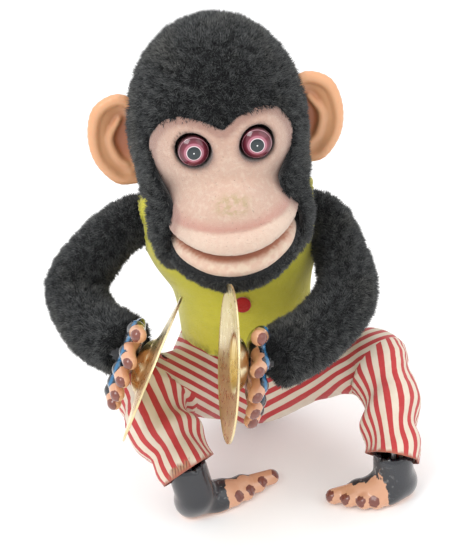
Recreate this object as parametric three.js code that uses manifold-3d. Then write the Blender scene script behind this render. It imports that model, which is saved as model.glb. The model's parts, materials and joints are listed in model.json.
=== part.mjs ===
// A sitting clockwork monkey, 265 mm tall, that claps two cymbals.
// Millimetres, +Z up, the face towards -Y, the monkey's cymbals in front of its chest.
// "left" and "right" are the viewer's, seen from the front.
import * as THREE from 'three'
import Module from 'manifold-3d'
import { mergeVertices } from 'three/addons/utils/BufferGeometryUtils.js'

const wasm = await Module()
wasm.setup()

// ---------------------------------------------------------------- driving dimensions

const GAP = 0.4 // clearance between neighbouring pieces
const SIDES = { left: -1, right: 1 }

// Body. Each torso section is [z, half width, half depth] of the vest's outside.
const TORSO = [
  [29, 36, 30], [60, 38, 31], [80, 38.5, 32], [95, 38.5, 33.5], [110, 40.5, 34],
  [126, 45, 34], [146, 47, 31], [160, 45, 26], [168, 38, 19]
]
const TORSO_BOTTOM = TORSO[0][0]
const TORSO_TOP = TORSO.at(-1)[0]
const VEST_THICK = 2.6
const SHELL_INSET = VEST_THICK + GAP
const SHELL_THICK = 1.2
const VEST_BOTTOM = 78
const SHOULDER_Z = 148
const ARMHOLE_R = 13
const NECK_HOLE_R = 14
const BUTTON = { x: -1, z: 109, r: 4.5, thick: 1.4 }

// Seat, base and legs
const SEAT = [[25, 34, 28], [32, 42, 34.5], [48, 47, 38], [62, 44, 37], [76, 41, 34.5]]
const BASE_Z = [25.8, 28.4]
const REAR_FOOT = { x: -0.5, y: 18, width: 24, depth: 17 }
const LEG_ROD_R = 2.2
const LEG_BORE_R = 5
const LEG_HOLE_R = 7.5
const LEGS = {
  left: {
    path: [[-16, -8, 47], [-37, -28, 58], [-57, -44, 65], [-50, -63, 50], [-39, -76, 33]],
    radii: [20, 19, 17.5, 16, 14.5],
    ankle: [-38, -74, 15],
    foot: { heel: [-44, -72], toes: [[5, -53], [-3, -59], [-10, -65], [-17, -69]] }
  },
  right: {
    path: [[17, -8, 47], [50, -22, 56], [76, -37, 64], [75, -58, 46], [71.5, -76, 27]],
    radii: [20, 19, 19, 17, 15],
    ankle: [72, -75, 12],
    foot: { heel: [76, -72], toes: [[38, -76], [46, -80], [54, -83], [61, -84]] }
  }
}
const FOOT_TOP = { left: 30, right: 23 }
const TOE_R = 4
const COLLAR_R = 10
const CUFF_HOLLOW_R = 12.9

// Head, turned a little to the right about the neck
const HEAD_YAW = THREE.MathUtils.degToRad(3)
const HEAD = { x: -4.5, y: -9, z: 205, rx: 46, ry: 47, rz: 57 }
const MUZZLE = { x: -4.5, y: -44, z: 164, rx: 34, ry: 31, rz: 25 }
const HEAD_FLOOR_Z = 178
const BEARD = { x: -4.5, y: -46, z: 170, rx: 43, ry: 22, rz: 36 }
const BEARD_BACK_Y = -37
const PLUSH_THICK = 5
const SKULL_INSET = 7
const MASK_THICK = 2.4
const EYE = { x: 15.6, y: -57.5, z: 208.6, r: 7.8, stemR: 5, length: 21 }
const SOCKET_R = 10
const MOUTH = { top: 157, jawTop: 155, hinge: [-4.5, -20, 166] }
const EAR = { x: 44, y: -8, z: 203, height: 48, width: 25, thick: 11 }

// Arms: the pivots and the drive yoke lie in a plane tilted about X
const ARM_TILT = THREE.MathUtils.degToRad(48.6)
const PIVOT_X = 34
const LEVER_PIN_X = 14
const ARM_ROD_R = 2.2
const ARM_BORE_R = 5.6
const ARMS = {
  left: {
    path: [[-59, -1, 147], [-78, -1, 132], [-92, -5, 114], [-83, -31, 104], [-66, -55, 103]],
    radii: [12.5, 13.5, 15, 16, 16],
    cymbal: { centre: [-50, -86, 106.5], normal: [0.881, -0.181, -0.437] },
    fingers: [-18, -8.7, 0.7, 10.6],
    thumb: 21,
    wristTo: [-63, -60, 104]
  },
  right: {
    path: [[58, -3, 145], [60, -20, 131.5], [58, -42, 114], [38, -62, 102], [14, -77, 99]],
    radii: [11, 12.5, 15, 16, 16],
    cymbal: { centre: [-10.4, -98.8, 112.3], normal: [-0.983, -0.066, 0.17] },
    fingers: [-24, -15.5, -5, 8],
    thumb: 20,
    wristTo: [9, -81, 98]
  }
}
const CYMBAL = { r: 39, flangeH: 2.4, bellR: 15, bellH: 9, thick: 0.9 }
const PALM_THICK = 8
const FINGER_R = 4

// Clockwork between two plates
const PLATE_Y = 13
const PLATE = { width: 46, bottom: 29, top: 108, thick: 1 }
const CRANK = { x: 0, z: 62, throw: 3.4 }
const ARBOR_R = 1.25
const ARBOR_FIT = 0.2
const GREAT = { teeth: 28, module: 1.25 }
const SECOND = { pinion: 8, teeth: 20, module: 1, bearing: 162.4 }
const THIRD = { pinion: 8, teeth: 16, module: 1 }
const FOURTH = { pinion: 8, bearing: -44.4 }
const WINDING_R = 2.4
const RATCHET = { teeth: 12, tip: 8, root: 6.4 }
const CLICK_ANGLE = 1.45
// From front to back along Y, between the plates
const LAYER = { great: [-11.4, -9.9], ratchet: [-9.4, -7.9], click: [-9.4, -8.3] }

// ---------------------------------------------------------------- geometry helpers

const Y = new THREE.Vector3(0, 1, 0)
const Z = new THREE.Vector3(0, 0, 1)
const vec = (p) => new THREE.Vector3(...p)

// A closed solid for boolean work from a three.js geometry.
function solid(geometry) {
  const plain = geometry.clone()
  plain.deleteAttribute('normal')
  plain.deleteAttribute('uv')
  const merged = mergeVertices(plain, 1e-4)
  const corner = merged.index.array
  const faces = []
  for (let i = 0; i < corner.length; i += 3) {
    const [a, b, c] = [corner[i], corner[i + 1], corner[i + 2]]
    if (a !== b && b !== c && c !== a) faces.push(a, b, c)
  }
  const vertProperties = new Float32Array(merged.attributes.position.array)
  const points = Array.from({ length: merged.attributes.position.count }, (_, i) =>
    new THREE.Vector3().fromBufferAttribute(merged.attributes.position, i))
  const triVerts = new Uint32Array(signedVolume(points, faces) < 0 ? turned(faces) : faces)
  return new wasm.Manifold(new wasm.Mesh({ numProp: 3, vertProperties, triVerts }))
}

function geometryOf(body) {
  const mesh = body.getMesh()
  const geometry = new THREE.BufferGeometry()
  geometry.setAttribute('position', new THREE.BufferAttribute(mesh.vertProperties, 3))
  geometry.setIndex(new THREE.BufferAttribute(mesh.triVerts, 1))
  geometry.computeVertexNormals()
  return geometry
}

const union = (bodies) => bodies.reduce((all, body) => all.add(body))
const less = (body, ...cutters) => cutters.reduce((rest, cutter) => rest.subtract(cutter), body)

function box(low, high) {
  const size = high.map((value, i) => value - low[i])
  const geometry = new THREE.BoxGeometry(...size)
  geometry.translate(...low.map((value, i) => value + size[i] / 2))
  return solid(geometry)
}

// A cylinder or cone from one point to another.
function rod(from, to, r, segments = 12, rEnd = r) {
  const a = vec(from)
  const b = vec(to)
  const along = b.clone().sub(a)
  const geometry = new THREE.CylinderGeometry(rEnd, r, along.length(), segments)
  geometry.applyQuaternion(new THREE.Quaternion().setFromUnitVectors(Y, along.normalize()))
  geometry.translate(...a.add(b).multiplyScalar(0.5).toArray())
  return solid(geometry)
}

const tube = (from, to, r, bore, segments = 16) => {
  const along = vec(to).sub(vec(from)).normalize()
  const start = vec(from).sub(along).toArray()
  const end = vec(to).add(along).toArray()
  return less(rod(from, to, r, segments), rod(start, end, bore, segments))
}

function ellipsoid({ x, y, z, rx, ry, rz }, grow = 0, segments = [16, 10]) {
  const geometry = new THREE.SphereGeometry(1, ...segments)
  geometry.rotateX(Math.PI / 2)
  geometry.scale(rx + grow, ry + grow, rz + grow)
  geometry.translate(x, y, z)
  return solid(geometry)
}

// A round-ended finger or toe from one point to another.
function finger(from, to, r) {
  const a = vec(from)
  const b = vec(to)
  const along = b.clone().sub(a)
  const geometry = new THREE.CapsuleGeometry(r, along.length(), 1, 6)
  geometry.applyQuaternion(new THREE.Quaternion().setFromUnitVectors(Y, along.normalize()))
  geometry.translate(...a.add(b).multiplyScalar(0.5).toArray())
  return solid(geometry)
}

// A closed skin through rings of equal length, with a fan at each end.
function loft(rings) {
  const count = rings[0].length
  const points = rings.flat()
  const faces = []
  for (let r = 0; r + 1 < rings.length; r++) {
    for (let i = 0; i < count; i++) {
      const [a, b] = [r * count + i, r * count + ((i + 1) % count)]
      faces.push(a, b, b + count, a, b + count, a + count)
    }
  }
  const ends = [[rings[0], 0, true], [rings.at(-1), (rings.length - 1) * count, false]]
  for (const [ring, first, flip] of ends) {
    const middle = ring.reduce((sum, p) => sum.add(p), new THREE.Vector3()).divideScalar(count)
    const apex = points.push(middle) - 1
    for (let i = 0; i < count; i++) {
      const [a, b] = [first + i, first + ((i + 1) % count)]
      faces.push(...(flip ? [apex, b, a] : [apex, a, b]))
    }
  }
  const geometry = new THREE.BufferGeometry()
  const numbers = points.flatMap((p) => p.toArray())
  geometry.setAttribute('position', new THREE.Float32BufferAttribute(numbers, 3))
  geometry.setIndex(faces)
  return solid(geometry)
}

function signedVolume(points, faces) {
  let sum = 0
  for (let i = 0; i < faces.length; i += 3) {
    const [a, b, c] = [points[faces[i]], points[faces[i + 1]], points[faces[i + 2]]]
    sum += a.dot(new THREE.Vector3().crossVectors(b, c))
  }
  return sum
}

const turned = (faces) => faces.map((_, i) => faces[i - (i % 3) + [0, 2, 1][i % 3]])

// A stack of upright ellipses from sections of [z, half width, half depth].
function stack(sections, inset = 0, sides = 16) {
  return loft(sections.map(([z, a, b]) => {
    const angle = (i) => (i / sides) * 2 * Math.PI
    return Array.from({ length: sides }, (_, i) =>
      new THREE.Vector3((a - inset) * Math.cos(angle(i)), (b - inset) * Math.sin(angle(i)), z))
  }))
}

// A round bar of varying radius along a smooth path.
function sweep(path, radii, sides = 12, steps = 9) {
  const curve = new THREE.CatmullRomCurve3(path.map(vec), false, 'centripetal')
  const frames = curve.computeFrenetFrames(steps, false)
  const rings = []
  for (let s = 0; s <= steps; s++) {
    const centre = curve.getPointAt(s / steps)
    const place = curve.getUtoTmapping(s / steps) * (radii.length - 1)
    const k = Math.min(Math.floor(place), radii.length - 2)
    const r = THREE.MathUtils.lerp(radii[k], radii[k + 1], place - k)
    rings.push(Array.from({ length: sides }, (_, i) => {
      const angle = (i / sides) * 2 * Math.PI
      return centre.clone()
        .addScaledVector(frames.normals[s], r * Math.cos(angle))
        .addScaledVector(frames.binormals[s], r * Math.sin(angle))
    }))
  }
  return loft(rings)
}

// The same path made longer at both ends.
function longer(path, by) {
  const [first, second] = path.slice(0, 2).map(vec)
  const [beforeLast, last] = path.slice(-2).map(vec)
  const start = first.clone().addScaledVector(first.clone().sub(second).normalize(), by)
  const end = last.clone().addScaledVector(last.clone().sub(beforeLast).normalize(), by)
  return [start.toArray(), ...path, end.toArray()]
}

// A flat plate from a shape drawn in X and Z, its thickness from y0 to y1.
function plateXZ(shape, y0, y1, curveSegments = 8) {
  const geometry = new THREE.ExtrudeGeometry(shape, { depth: y1 - y0, bevelEnabled: false, curveSegments })
  geometry.rotateX(Math.PI / 2)
  geometry.translate(0, y1, 0)
  return solid(geometry)
}

const outline = (points) => new THREE.Shape(points.map(([x, z]) => new THREE.Vector2(x, z)))

function moved(body, matrix) {
  return body.transform(matrix.elements)
}

const shifted = (body, x, y, z) => body.translate([x, y, z])

// ---------------------------------------------------------------- the scene graph

const toy = new THREE.Group()
const groups = { head: new THREE.Group(), shoulders: new THREE.Group() }
groups.head.rotation.z = HEAD_YAW
groups.shoulders.position.set(0, 0, SHOULDER_Z)
groups.shoulders.rotation.x = ARM_TILT
toy.add(groups.head, groups.shoulders)

const FINISH = {
  plush: { color: 0x2b2d2b, roughness: 1, metalness: 0 },
  face: { color: 0xe6c9b4, roughness: 0.9, metalness: 0 },
  vinyl: { color: 0xe8a878, roughness: 0.45, metalness: 0 },
  foot: { color: 0x15161a, roughness: 0.25, metalness: 0 },
  vest: { color: 0xc9cf3a, roughness: 1, metalness: 0 },
  cloth: { color: 0xd9a79c, roughness: 0.9, metalness: 0 },
  red: { color: 0xc8202c, roughness: 0.8, metalness: 0 },
  eye: { color: 0x8e3446, roughness: 0.15, metalness: 0 },
  black: { color: 0x111113, roughness: 0.4, metalness: 0 },
  brass: { color: 0xb08d3c, roughness: 0.25, metalness: 1 },
  steel: { color: 0x9a9c9e, roughness: 0.35, metalness: 1 },
  tin: { color: 0x8f9296, roughness: 0.4, metalness: 1 }
}

function add(name, finish, body, group = toy) {
  const mesh = new THREE.Mesh(geometryOf(body), new THREE.MeshStandardMaterial(FINISH[finish]))
  mesh.name = name
  group.add(mesh)
}

// ---------------------------------------------------------------- base, body shells, clothes

const windingZ = () => arbors().great[1]

function base() {
  const [low, high] = BASE_Z
  const foot = stack([[0, 11, 7.5], [2, 12, 8.5], [low - GAP, 12, 8.5]], 0, 20)
  add('rear_foot', 'black', shifted(foot, REAR_FOOT.x, REAR_FOOT.y, 0))
  const plate = stack([[low, 33, 27], [high, 33, 27]], 0, 24)
  const screws = [-26, 26]
  const holes = screws.map((x) => rod([x, 0, low - 1], [x, 0, high + 1], 1.6, 10))
  add('base_plate', 'tin', less(plate, ...holes))
  for (const [i, side] of Object.keys(SIDES).entries()) {
    const x = screws[i]
    const screw = union([
      rod([x, 0, low - 2], [x, 0, low - GAP], 3, 12),
      rod([x, 0, low - 1.5], [x, 0, high + 5], 1.3, 10)
    ])
    add(`base_screw_${side}`, 'steel', screw)
  }
}

// Where the leg rods leave the body.
const legHoles = () => Object.values(LEGS).map(({ path }) =>
  rod([path[0][0], path[0][1] + 4, path[0][2] - 5], path[1], LEG_HOLE_R, 10))

function torso() {
  const outer = stack(TORSO.map(([z, a, b], i) => [i ? z : z + GAP, a, b]), SHELL_INSET)
  const inner = stack(
    TORSO.map(([z, a, b], i) => [i === 0 ? z - 5 : i === TORSO.length - 1 ? z - SHELL_THICK : z, a, b]),
    SHELL_INSET + SHELL_THICK
  )
  const keyHole = rod([0, 0, windingZ()], [0, 60, windingZ()], WINDING_R + 2.5, 14)
  const armholes = rod([-90, 0, SHOULDER_Z], [90, 0, SHOULDER_Z], ARMHOLE_R, 12)
  const neck = rod([0, 0, TORSO_TOP - 10], [0, 0, TORSO_TOP + 10], NECK_HOLE_R, 12)
  const shell = less(outer, inner, armholes, neck, keyHole, ...legHoles())
  const half = GAP / 2
  add('torso_front_shell', 'tin', less(shell, box([-99, -half, 0], [99, 99, 300])))
  add('torso_back_shell', 'tin', less(shell, box([-99, -99, 0], [99, half, 300])))

  const upper = TORSO.slice(1)
  const cloth = less(
    stack(upper.map(([z, a, b]) => [z === TORSO_TOP ? z + VEST_THICK + GAP : z, a, b])),
    stack([...upper, [TORSO_TOP + GAP, 34, 15]], VEST_THICK),
    rod([-90, 0, SHOULDER_Z], [90, 0, SHOULDER_Z], ARMHOLE_R + 1.5, 12),
    rod([0, 0, TORSO_TOP - 20], [0, 0, TORSO_TOP + 20], NECK_HOLE_R + 2, 12),
    box([-99, -99, 0], [99, 99, VEST_BOTTOM]),
    keyHole
  )
  add('vest', 'vest', cloth)
  const { x, z, r, thick } = BUTTON
  const back = -TORSO[4][2] - GAP
  add('vest_button', 'red', rod([x, back - thick, z], [x, back, z], r))
}

function trousers() {
  const hollow = stack([[19, 35, 29], ...TORSO.slice(0, 3)].map(([z, a, b]) => [z, a, b]), SHELL_INSET - GAP)
  const bottomHole = stack([[17, 34, 28], [30, 34, 28]])
  const seat = less(stack(SEAT), hollow, bottomHole, ...legHoles())
  add('trouser_seat', 'cloth', seat)
  const seatRoom = stack(SEAT.map(([z, a, b], i) => [z + (i ? GAP : -GAP), a, b]), -GAP)
  for (const side of Object.keys(SIDES)) {
    const { path, radii } = LEGS[side]
    const bore = sweep(longer(path, 6), [LEG_BORE_R, LEG_BORE_R], 6, 10)
    const { shin, collarTop } = collar(side)
    const cuff = rod(collarTop.clone().addScaledVector(shin, -30).toArray(),
      collarTop.clone().addScaledVector(shin, 3).toArray(), CUFF_HOLLOW_R, 12)
    add(`trouser_leg_${side}`, 'cloth', less(sweep(path, radii, 12, 8), seatRoom, bore, cuff))
  }
}

// ---------------------------------------------------------------- legs and feet

// The leg's bar from the hip through the trouser leg, ending upright in the foot.
function legBar(side, r) {
  const { path, ankle } = LEGS[side]
  const aboveAnkle = [...ankle.slice(0, 2), ankle[2] + 10]
  return sweep([hipOf(side), ...path.slice(0, -1), aboveAnkle, ankle], [r, r], 6, 14)
}

const hipOf = (side) => [SIDES[side] * 14, -4, 37]

function legs() {
  for (const side of Object.keys(SIDES)) {
    const hip = hipOf(side)
    const bar = legBar(side, LEG_ROD_R)
    const lug = rod([hip[0], hip[1], BASE_Z[1] + GAP], [hip[0], hip[1], hip[2] + 1], 4, 12)
    add(`leg_rod_${side}`, 'steel', union([bar, lug]))
    add(`foot_${side}`, 'foot', foot(side))
  }
}

// The shin's direction, and where the foot's ankle collar ends inside the trouser cuff.
function collar(side) {
  const { path, ankle } = LEGS[side]
  const shin = vec(path.at(-2)).sub(vec(path.at(-1))).normalize()
  return { shin, collarTop: vec(ankle).addScaledVector(shin, (FOOT_TOP[side] - ankle[2]) / shin.z) }
}

// A moulded foot: an ankle collar, a sole running to four toes, and a well for the leg rod.
function foot(side) {
  const { ankle, foot: { heel, toes } } = LEGS[side]
  const top = FOOT_TOP[side]
  const { shin, collarTop } = collar(side)
  const mean = (axis) => toes.reduce((sum, toe) => sum + toe[axis] / toes.length, 0)
  const middle = [mean(0), mean(1)]
  const instep = [0.5 * (heel[0] + middle[0]), 0.5 * (heel[1] + middle[1])]
  const parts = [
    rod([...ankle.slice(0, 2), 8], collarTop.toArray(), 11, 12, COLLAR_R),
    ellipsoid({ x: heel[0], y: heel[1], z: 9, rx: 12, ry: 12, rz: 9.5 }, 0, [10, 6]),
    ellipsoid({ x: instep[0], y: instep[1], z: 9, rx: 19, ry: 14, rz: 9.5 }, 0, [12, 6])
  ]
  for (const [x, y] of toes) {
    const from = [x + (instep[0] - x) * 0.5, y + (instep[1] - y) * 0.5, TOE_R + 2.5]
    parts.push(finger(from, [x, y, TOE_R], TOE_R))
  }
  const floor = box([-200, -200, -20], [200, 200, 0])
  const [ax, ay, az] = ankle
  const well = rod([ax, ay, az - 2], [ax, ay, top + 20], LEG_ROD_R + 1.2, 10)
  const mouth = rod([ax, ay, az + 3], collarTop.clone().addScaledVector(shin, 14).toArray(), 7.2, 12, 8.2)
  const cut = less(union(parts), floor, well, mouth, legBar(side, LEG_ROD_R + 1.6))
  // The cuts can leave a loose flake at the collar's rim: the foot is the largest piece.
  return cut.decompose().sort((a, b) => b.volume() - a.volume())[0]
}

// ---------------------------------------------------------------- head

function neck() {
  const tubeTop = HEAD_FLOOR_Z - 4
  const plate = stack([[159.5, 16, 15], [161, 16, 15]], 0, 20)
  const sleeve = rod([0, 0, 160], [0, 0, tubeTop], 6.5, 16)
  add('neck_tube', 'steel', less(union([plate, sleeve]), rod([0, 0, 150], [0, 0, 190], 4.3, 16)))
  const turns = 3
  const helix = Array.from({ length: turns * 8 + 1 }, (_, i) => {
    const angle = (i / 8) * 2 * Math.PI
    return [5.4 * Math.cos(angle), 5.4 * Math.sin(angle), tubeTop + 1.2 + i * 0.29]
  })
  add('head_spring', 'steel', sweep(helix, [0.5, 0.5], 4, turns * 8))
}

const headShape = (grow, segments) => ellipsoid(HEAD, grow, segments)
const muzzleShape = (grow) => ellipsoid(MUZZLE, grow)

// The face opening, looking along Y: two brow lobes, cheeks drawn in, and a wide muzzle.
function faceOpening(grow) {
  const right = [
    [0, 217], [9, 225], [20, 229], [30, 224], [35, 212], [31, 194], [33, 184], [38, 172], [38, 157],
    [33, 146], [20, 138]
  ]
  const left = right.slice(1).map(([x, z]) => [-x, z]).reverse()
  const middle = [0, 185]
  const points = [...right, ...left].map(([x, z]) => {
    const [dx, dz] = [x - middle[0], z - middle[1]]
    const scale = 1 + grow / Math.hypot(dx, dz)
    return [MUZZLE.x + dx * scale, middle[1] + dz * scale]
  })
  return plateXZ(outline(points.reverse()), -120, -20)
}

function head() {
  const under = union([
    box([-99, BEARD_BACK_Y, 60], [99, 99, HEAD_FLOOR_Z]),
    box([-99, -99, 60], [99, 99, 146])
  ])
  const whole = headShape(0).add(ellipsoid(BEARD, 0, [14, 9]))
  const hollow = less(headShape(-PLUSH_THICK), box([-99, -99, 60], [99, 99, HEAD_FLOOR_Z + PLUSH_THICK]))
  const earSlots = Object.values(SIDES).map((s) =>
    ellipsoid({ x: HEAD.x + s * EAR.x, y: EAR.y, z: EAR.z, rx: 9, ry: 5, rz: 17 }, GAP, [8, 6]))
  const neckHole = rod([0, 0, 150], [0, 0, HEAD_FLOOR_Z + 10], 12, 16)
  const chinRoom = box([MUZZLE.x - 31, -99, 60], [MUZZLE.x + 31, 99, 162])
  add('head_plush', 'plush',
    less(whole, under, hollow, faceOpening(0.5), neckHole, chinRoom, ...earSlots), groups.head)

  const skullCut = box([-99, -99, 60], [99, 99, HEAD_FLOOR_Z + PLUSH_THICK + GAP])
  const faceRoom = box([HEAD.x - 29, -99, 60], [HEAD.x + 29, -20, 224])
  add('skull_shell', 'black', less(
    headShape(-SKULL_INSET, [14, 9]), headShape(-SKULL_INSET - 1.6, [14, 9]), skullCut, faceRoom, ...earSlots
  ), groups.head)

  const outside = headShape(-1.5).add(muzzleShape(0))
  const inside = headShape(-1.5 - MASK_THICK).add(muzzleShape(-MASK_THICK))
  const sockets = Object.values(SIDES).map((s) =>
    rod([HEAD.x + s * EYE.x, -99, EYE.z], [HEAD.x + s * EYE.x, -20, EYE.z], SOCKET_R, 16))
  const backFace = box([-99, -34, 60], [99, 99, 300])
  const belowLip = box([-99, -99, 60], [99, 99, MOUTH.top])
  add('face_mask', 'face',
    less(outside.intersect(faceOpening(0)), inside, backFace, belowLip, ...sockets), groups.head)

  const jawOutside = ellipsoid({ ...MUZZLE, y: MUZZLE.y + 2, rx: 29, ry: 27, rz: 21 }, 0, [14, 10])
  const jawInside = ellipsoid({ ...MUZZLE, y: MUZZLE.y + 2, rx: 26, ry: 24, rz: 18 }, 0, [14, 10])
  const jawBlock = box([-99, -99, 141], [99, -36, MOUTH.jawTop])
  add('jaw', 'face', less(jawOutside, jawInside).intersect(jawBlock), groups.head)
  const chin = ellipsoid({ x: MUZZLE.x, y: -52, z: 145, rx: 24, ry: 12, rz: 11 }, 0, [14, 10])
  const chinTop = box([-99, -99, 141 - GAP], [99, 99, 300])
  add('chin_plush', 'plush', less(chin, chinTop, box([-99, -45, 60], [99, 99, 300])), groups.head)

  const floorZ = HEAD_FLOOR_Z + PLUSH_THICK + 1.4
  add('neck_plunger', 'steel', union([
    rod([0, 0, TORSO_TOP - 5], [0, 0, floorZ], 3.9, 16),
    rod([0, 0, floorZ - 0.5], [0, 0, floorZ + 1.4], 20, 16)
  ]), groups.head)
}

function eyes() {
  const back = EYE.y + EYE.length
  for (const [side, s] of Object.entries(SIDES)) {
    const x = HEAD.x + s * EYE.x
    const { r, stemR, length } = EYE
    const profile = [[0, 0], [r - 2.5, 0.9], [r, 3], [r, 7], [stemR, 9], [stemR, length], [0, length]]
    const body = solid(new THREE.LatheGeometry(profile.map((point) => new THREE.Vector2(...point)), 16))
    add(`eye_${side}`, 'eye', shifted(body, x, EYE.y, EYE.z), groups.head)
  }
  const bar = box([HEAD.x - 22, back + GAP, EYE.z - 5], [HEAD.x + 22, back + GAP + 2, EYE.z + 5])
  const stem = box([HEAD.x - 3, back + GAP + 1, EYE.z - 3], [HEAD.x + 3, -14, EYE.z + 3])
  add('eye_carriage', 'steel', union([bar, stem]), groups.head)
}

// A cupped ear, open to the front, on a root that plugs into the side of the head.
function ears() {
  for (const [side, s] of Object.entries(SIDES)) {
    const middle = { x: HEAD.x + s * (EAR.x + 12), y: EAR.y, z: EAR.z }
    const cup = { rx: EAR.width / 2 + 1, ry: EAR.thick / 2, rz: EAR.height / 2 }
    const scoop = { ...middle, y: middle.y - 4, rx: cup.rx - 4, ry: cup.ry, rz: cup.rz - 4 }
    const body = union([
      ellipsoid({ ...middle, ...cup }, 0, [12, 8]),
      ellipsoid({ x: HEAD.x + s * EAR.x, y: EAR.y, z: EAR.z, rx: 9, ry: 5, rz: 17 }, -GAP, [8, 6])
    ])
    const hollow = ellipsoid(scoop, 0, [10, 6])
    const skullRoom = headShape(-PLUSH_THICK + GAP).intersect(box([-99, -99, 0], [99, 99, 300]))
    add(`ear_${side}`, 'vinyl', less(body, hollow, skullRoom), groups.head)
  }
}

// ---------------------------------------------------------------- arms

// The hand's frame at the cymbal's centre: x along the fingers, y up, z towards the other cymbal.
function handMatrix({ centre, normal }) {
  const z = vec(normal).normalize()
  const y = Z.clone().addScaledVector(z, -Z.dot(z)).normalize()
  const x = new THREE.Vector3().crossVectors(y, z)
  return new THREE.Matrix4().makeBasis(x, y, z).setPosition(...centre)
}

function cymbal() {
  const { r, flangeH, bellR, bellH, thick } = CYMBAL
  const boltHole = 2.1
  const back = [
    [r, 0], [bellR + 2, -flangeH], [bellR - 2, -flangeH - 2.4], [9, -bellH + 0.8], [boltHole, -bellH]
  ]
  const front = back.map(([x, y]) => [x, y + thick]).reverse()
  const profile = [...back, ...front, back[0]].map(([x, y]) => new THREE.Vector2(x, y))
  const geometry = new THREE.LatheGeometry(profile, 24)
  geometry.rotateX(Math.PI / 2)
  return solid(geometry)
}

// Palm and fingers behind the cymbal, the thumb on top. "forward" runs to the fingertips.
function hand(side) {
  const forward = SIDES[side]
  const { fingers: rows, thumb: thumbY } = ARMS[side]
  const z = -CYMBAL.bellH - GAP - PALM_THICK / 2
  const middle = (rows[0] + rows.at(-1)) / 2
  const palm = ellipsoid({ x: -forward * 6, y: middle, z: 0, rx: 17, ry: 19, rz: PALM_THICK / 2 }, 0, [12, 6])
  const fingers = rows.map((y) => finger([-forward * 2, y, 0], [forward * 19, y, 0], FINGER_R))
  const thumb = finger([-forward * 8, thumbY - 11, 0], [forward * 8, thumbY, 0], FINGER_R)
  const slab = box([-60, -60, -PALM_THICK / 2], [60, 60, PALM_THICK / 2])
  const body = union([palm, ...fingers, thumb]).intersect(slab)
  return shifted(body, 0, 0, z)
}

function bolt() {
  const z = -CYMBAL.bellH
  const headSide = z + CYMBAL.thick + GAP
  return union([
    rod([0, 0, headSide + 1.6], [0, 0, headSide], 3.6, 12),
    rod([0, 0, headSide + 0.5], [0, 0, z - PALM_THICK - 5], 1.6, 10)
  ])
}

function nut() {
  const z = -CYMBAL.bellH - GAP - PALM_THICK - GAP
  return tube([0, 0, z], [0, 0, z - 2.6], 3.4, 1.9, 6)
}

function arms() {
  const toShoulders = groups.shoulders
  toShoulders.updateMatrix()
  for (const [side, s] of Object.entries(SIDES)) {
    const { path, radii, cymbal: place, wristTo } = ARMS[side]
    const frame = handMatrix(place)
    const boltHole = rod([0, 0, 20], [0, 0, -60], 2, 10)
    const handBody = moved(less(hand(side), boltHole), frame)
    add(`hand_${side}`, 'vinyl', handBody)
    add(`cymbal_${side}`, 'brass', moved(cymbal(), frame))
    add(`cymbal_bolt_${side}`, 'steel', moved(bolt(), frame))
    add(`cymbal_nut_${side}`, 'steel', moved(nut(), frame))

    const handRoom = moved(rod([0, 0, -CYMBAL.bellH - GAP + 1], [0, 0, -CYMBAL.bellH - 13.5], 31, 20), frame)
    const bore = sweep(longer(path, 8), [ARM_BORE_R, ARM_BORE_R], 6, 10)
    add(`arm_plush_${side}`, 'plush', less(sweep(path, radii, 10, 8), bore, handRoom))

    // In the shoulders' frame: a flat lever with its drive pin, carrying the bent arm rod.
    const ends = [s * PIVOT_X, s * LEVER_PIN_X]
    const blade = union([
      box([Math.min(...ends), -3, -4], [Math.max(...ends), 3, -1.5]),
      rod([s * PIVOT_X, 0, -4], [s * PIVOT_X, 0, -1], 5, 14),
      rod([s * LEVER_PIN_X, 0, -4], [s * LEVER_PIN_X, 0, -1.5], 3, 10),
      rod([s * LEVER_PIN_X, 0, -2], [s * LEVER_PIN_X, 0, 3], 1.2, 8)
    ])
    const start = new THREE.Vector3(s * (PIVOT_X + 2), 0, -2.6).applyMatrix4(toShoulders.matrix).toArray()
    const armRod = sweep([start, ...path, wristTo], [1.6, ARM_ROD_R, ARM_ROD_R, ARM_ROD_R], 6, 11)
    const pivotHole = rod([s * PIVOT_X, 0, -9], [s * PIVOT_X, 0, 9], 2.2, 14)
    add(`arm_lever_${side}`, 'steel',
      less(moved(blade, toShoulders.matrix).add(armRod), moved(pivotHole, toShoulders.matrix),
        moved(rod([0, 0, -CYMBAL.bellH], [0, 0, -CYMBAL.bellH - PALM_THICK - 3], 33, 20), frame)))
    add(`shoulder_pin_${side}`, 'steel', union([
      rod([s * PIVOT_X, 0, -9], [s * PIVOT_X, 0, 1], 2, 14),
      rod([s * PIVOT_X, 0, -0.6], [s * PIVOT_X, 0, 0.8], 3.6, 12)
    ]), groups.shoulders)
  }
  const reach = PIVOT_X + 5
  const plate = box([-reach, -5, -6.6], [reach, 5, -5.2])
  const ears = Object.values(SIDES).map((s) => rod([s * PIVOT_X, 0, -9], [s * PIVOT_X, 0, 0], 2.3, 14))
  add('shoulder_bracket', 'tin', less(plate, ...ears), groups.shoulders)
}

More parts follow.
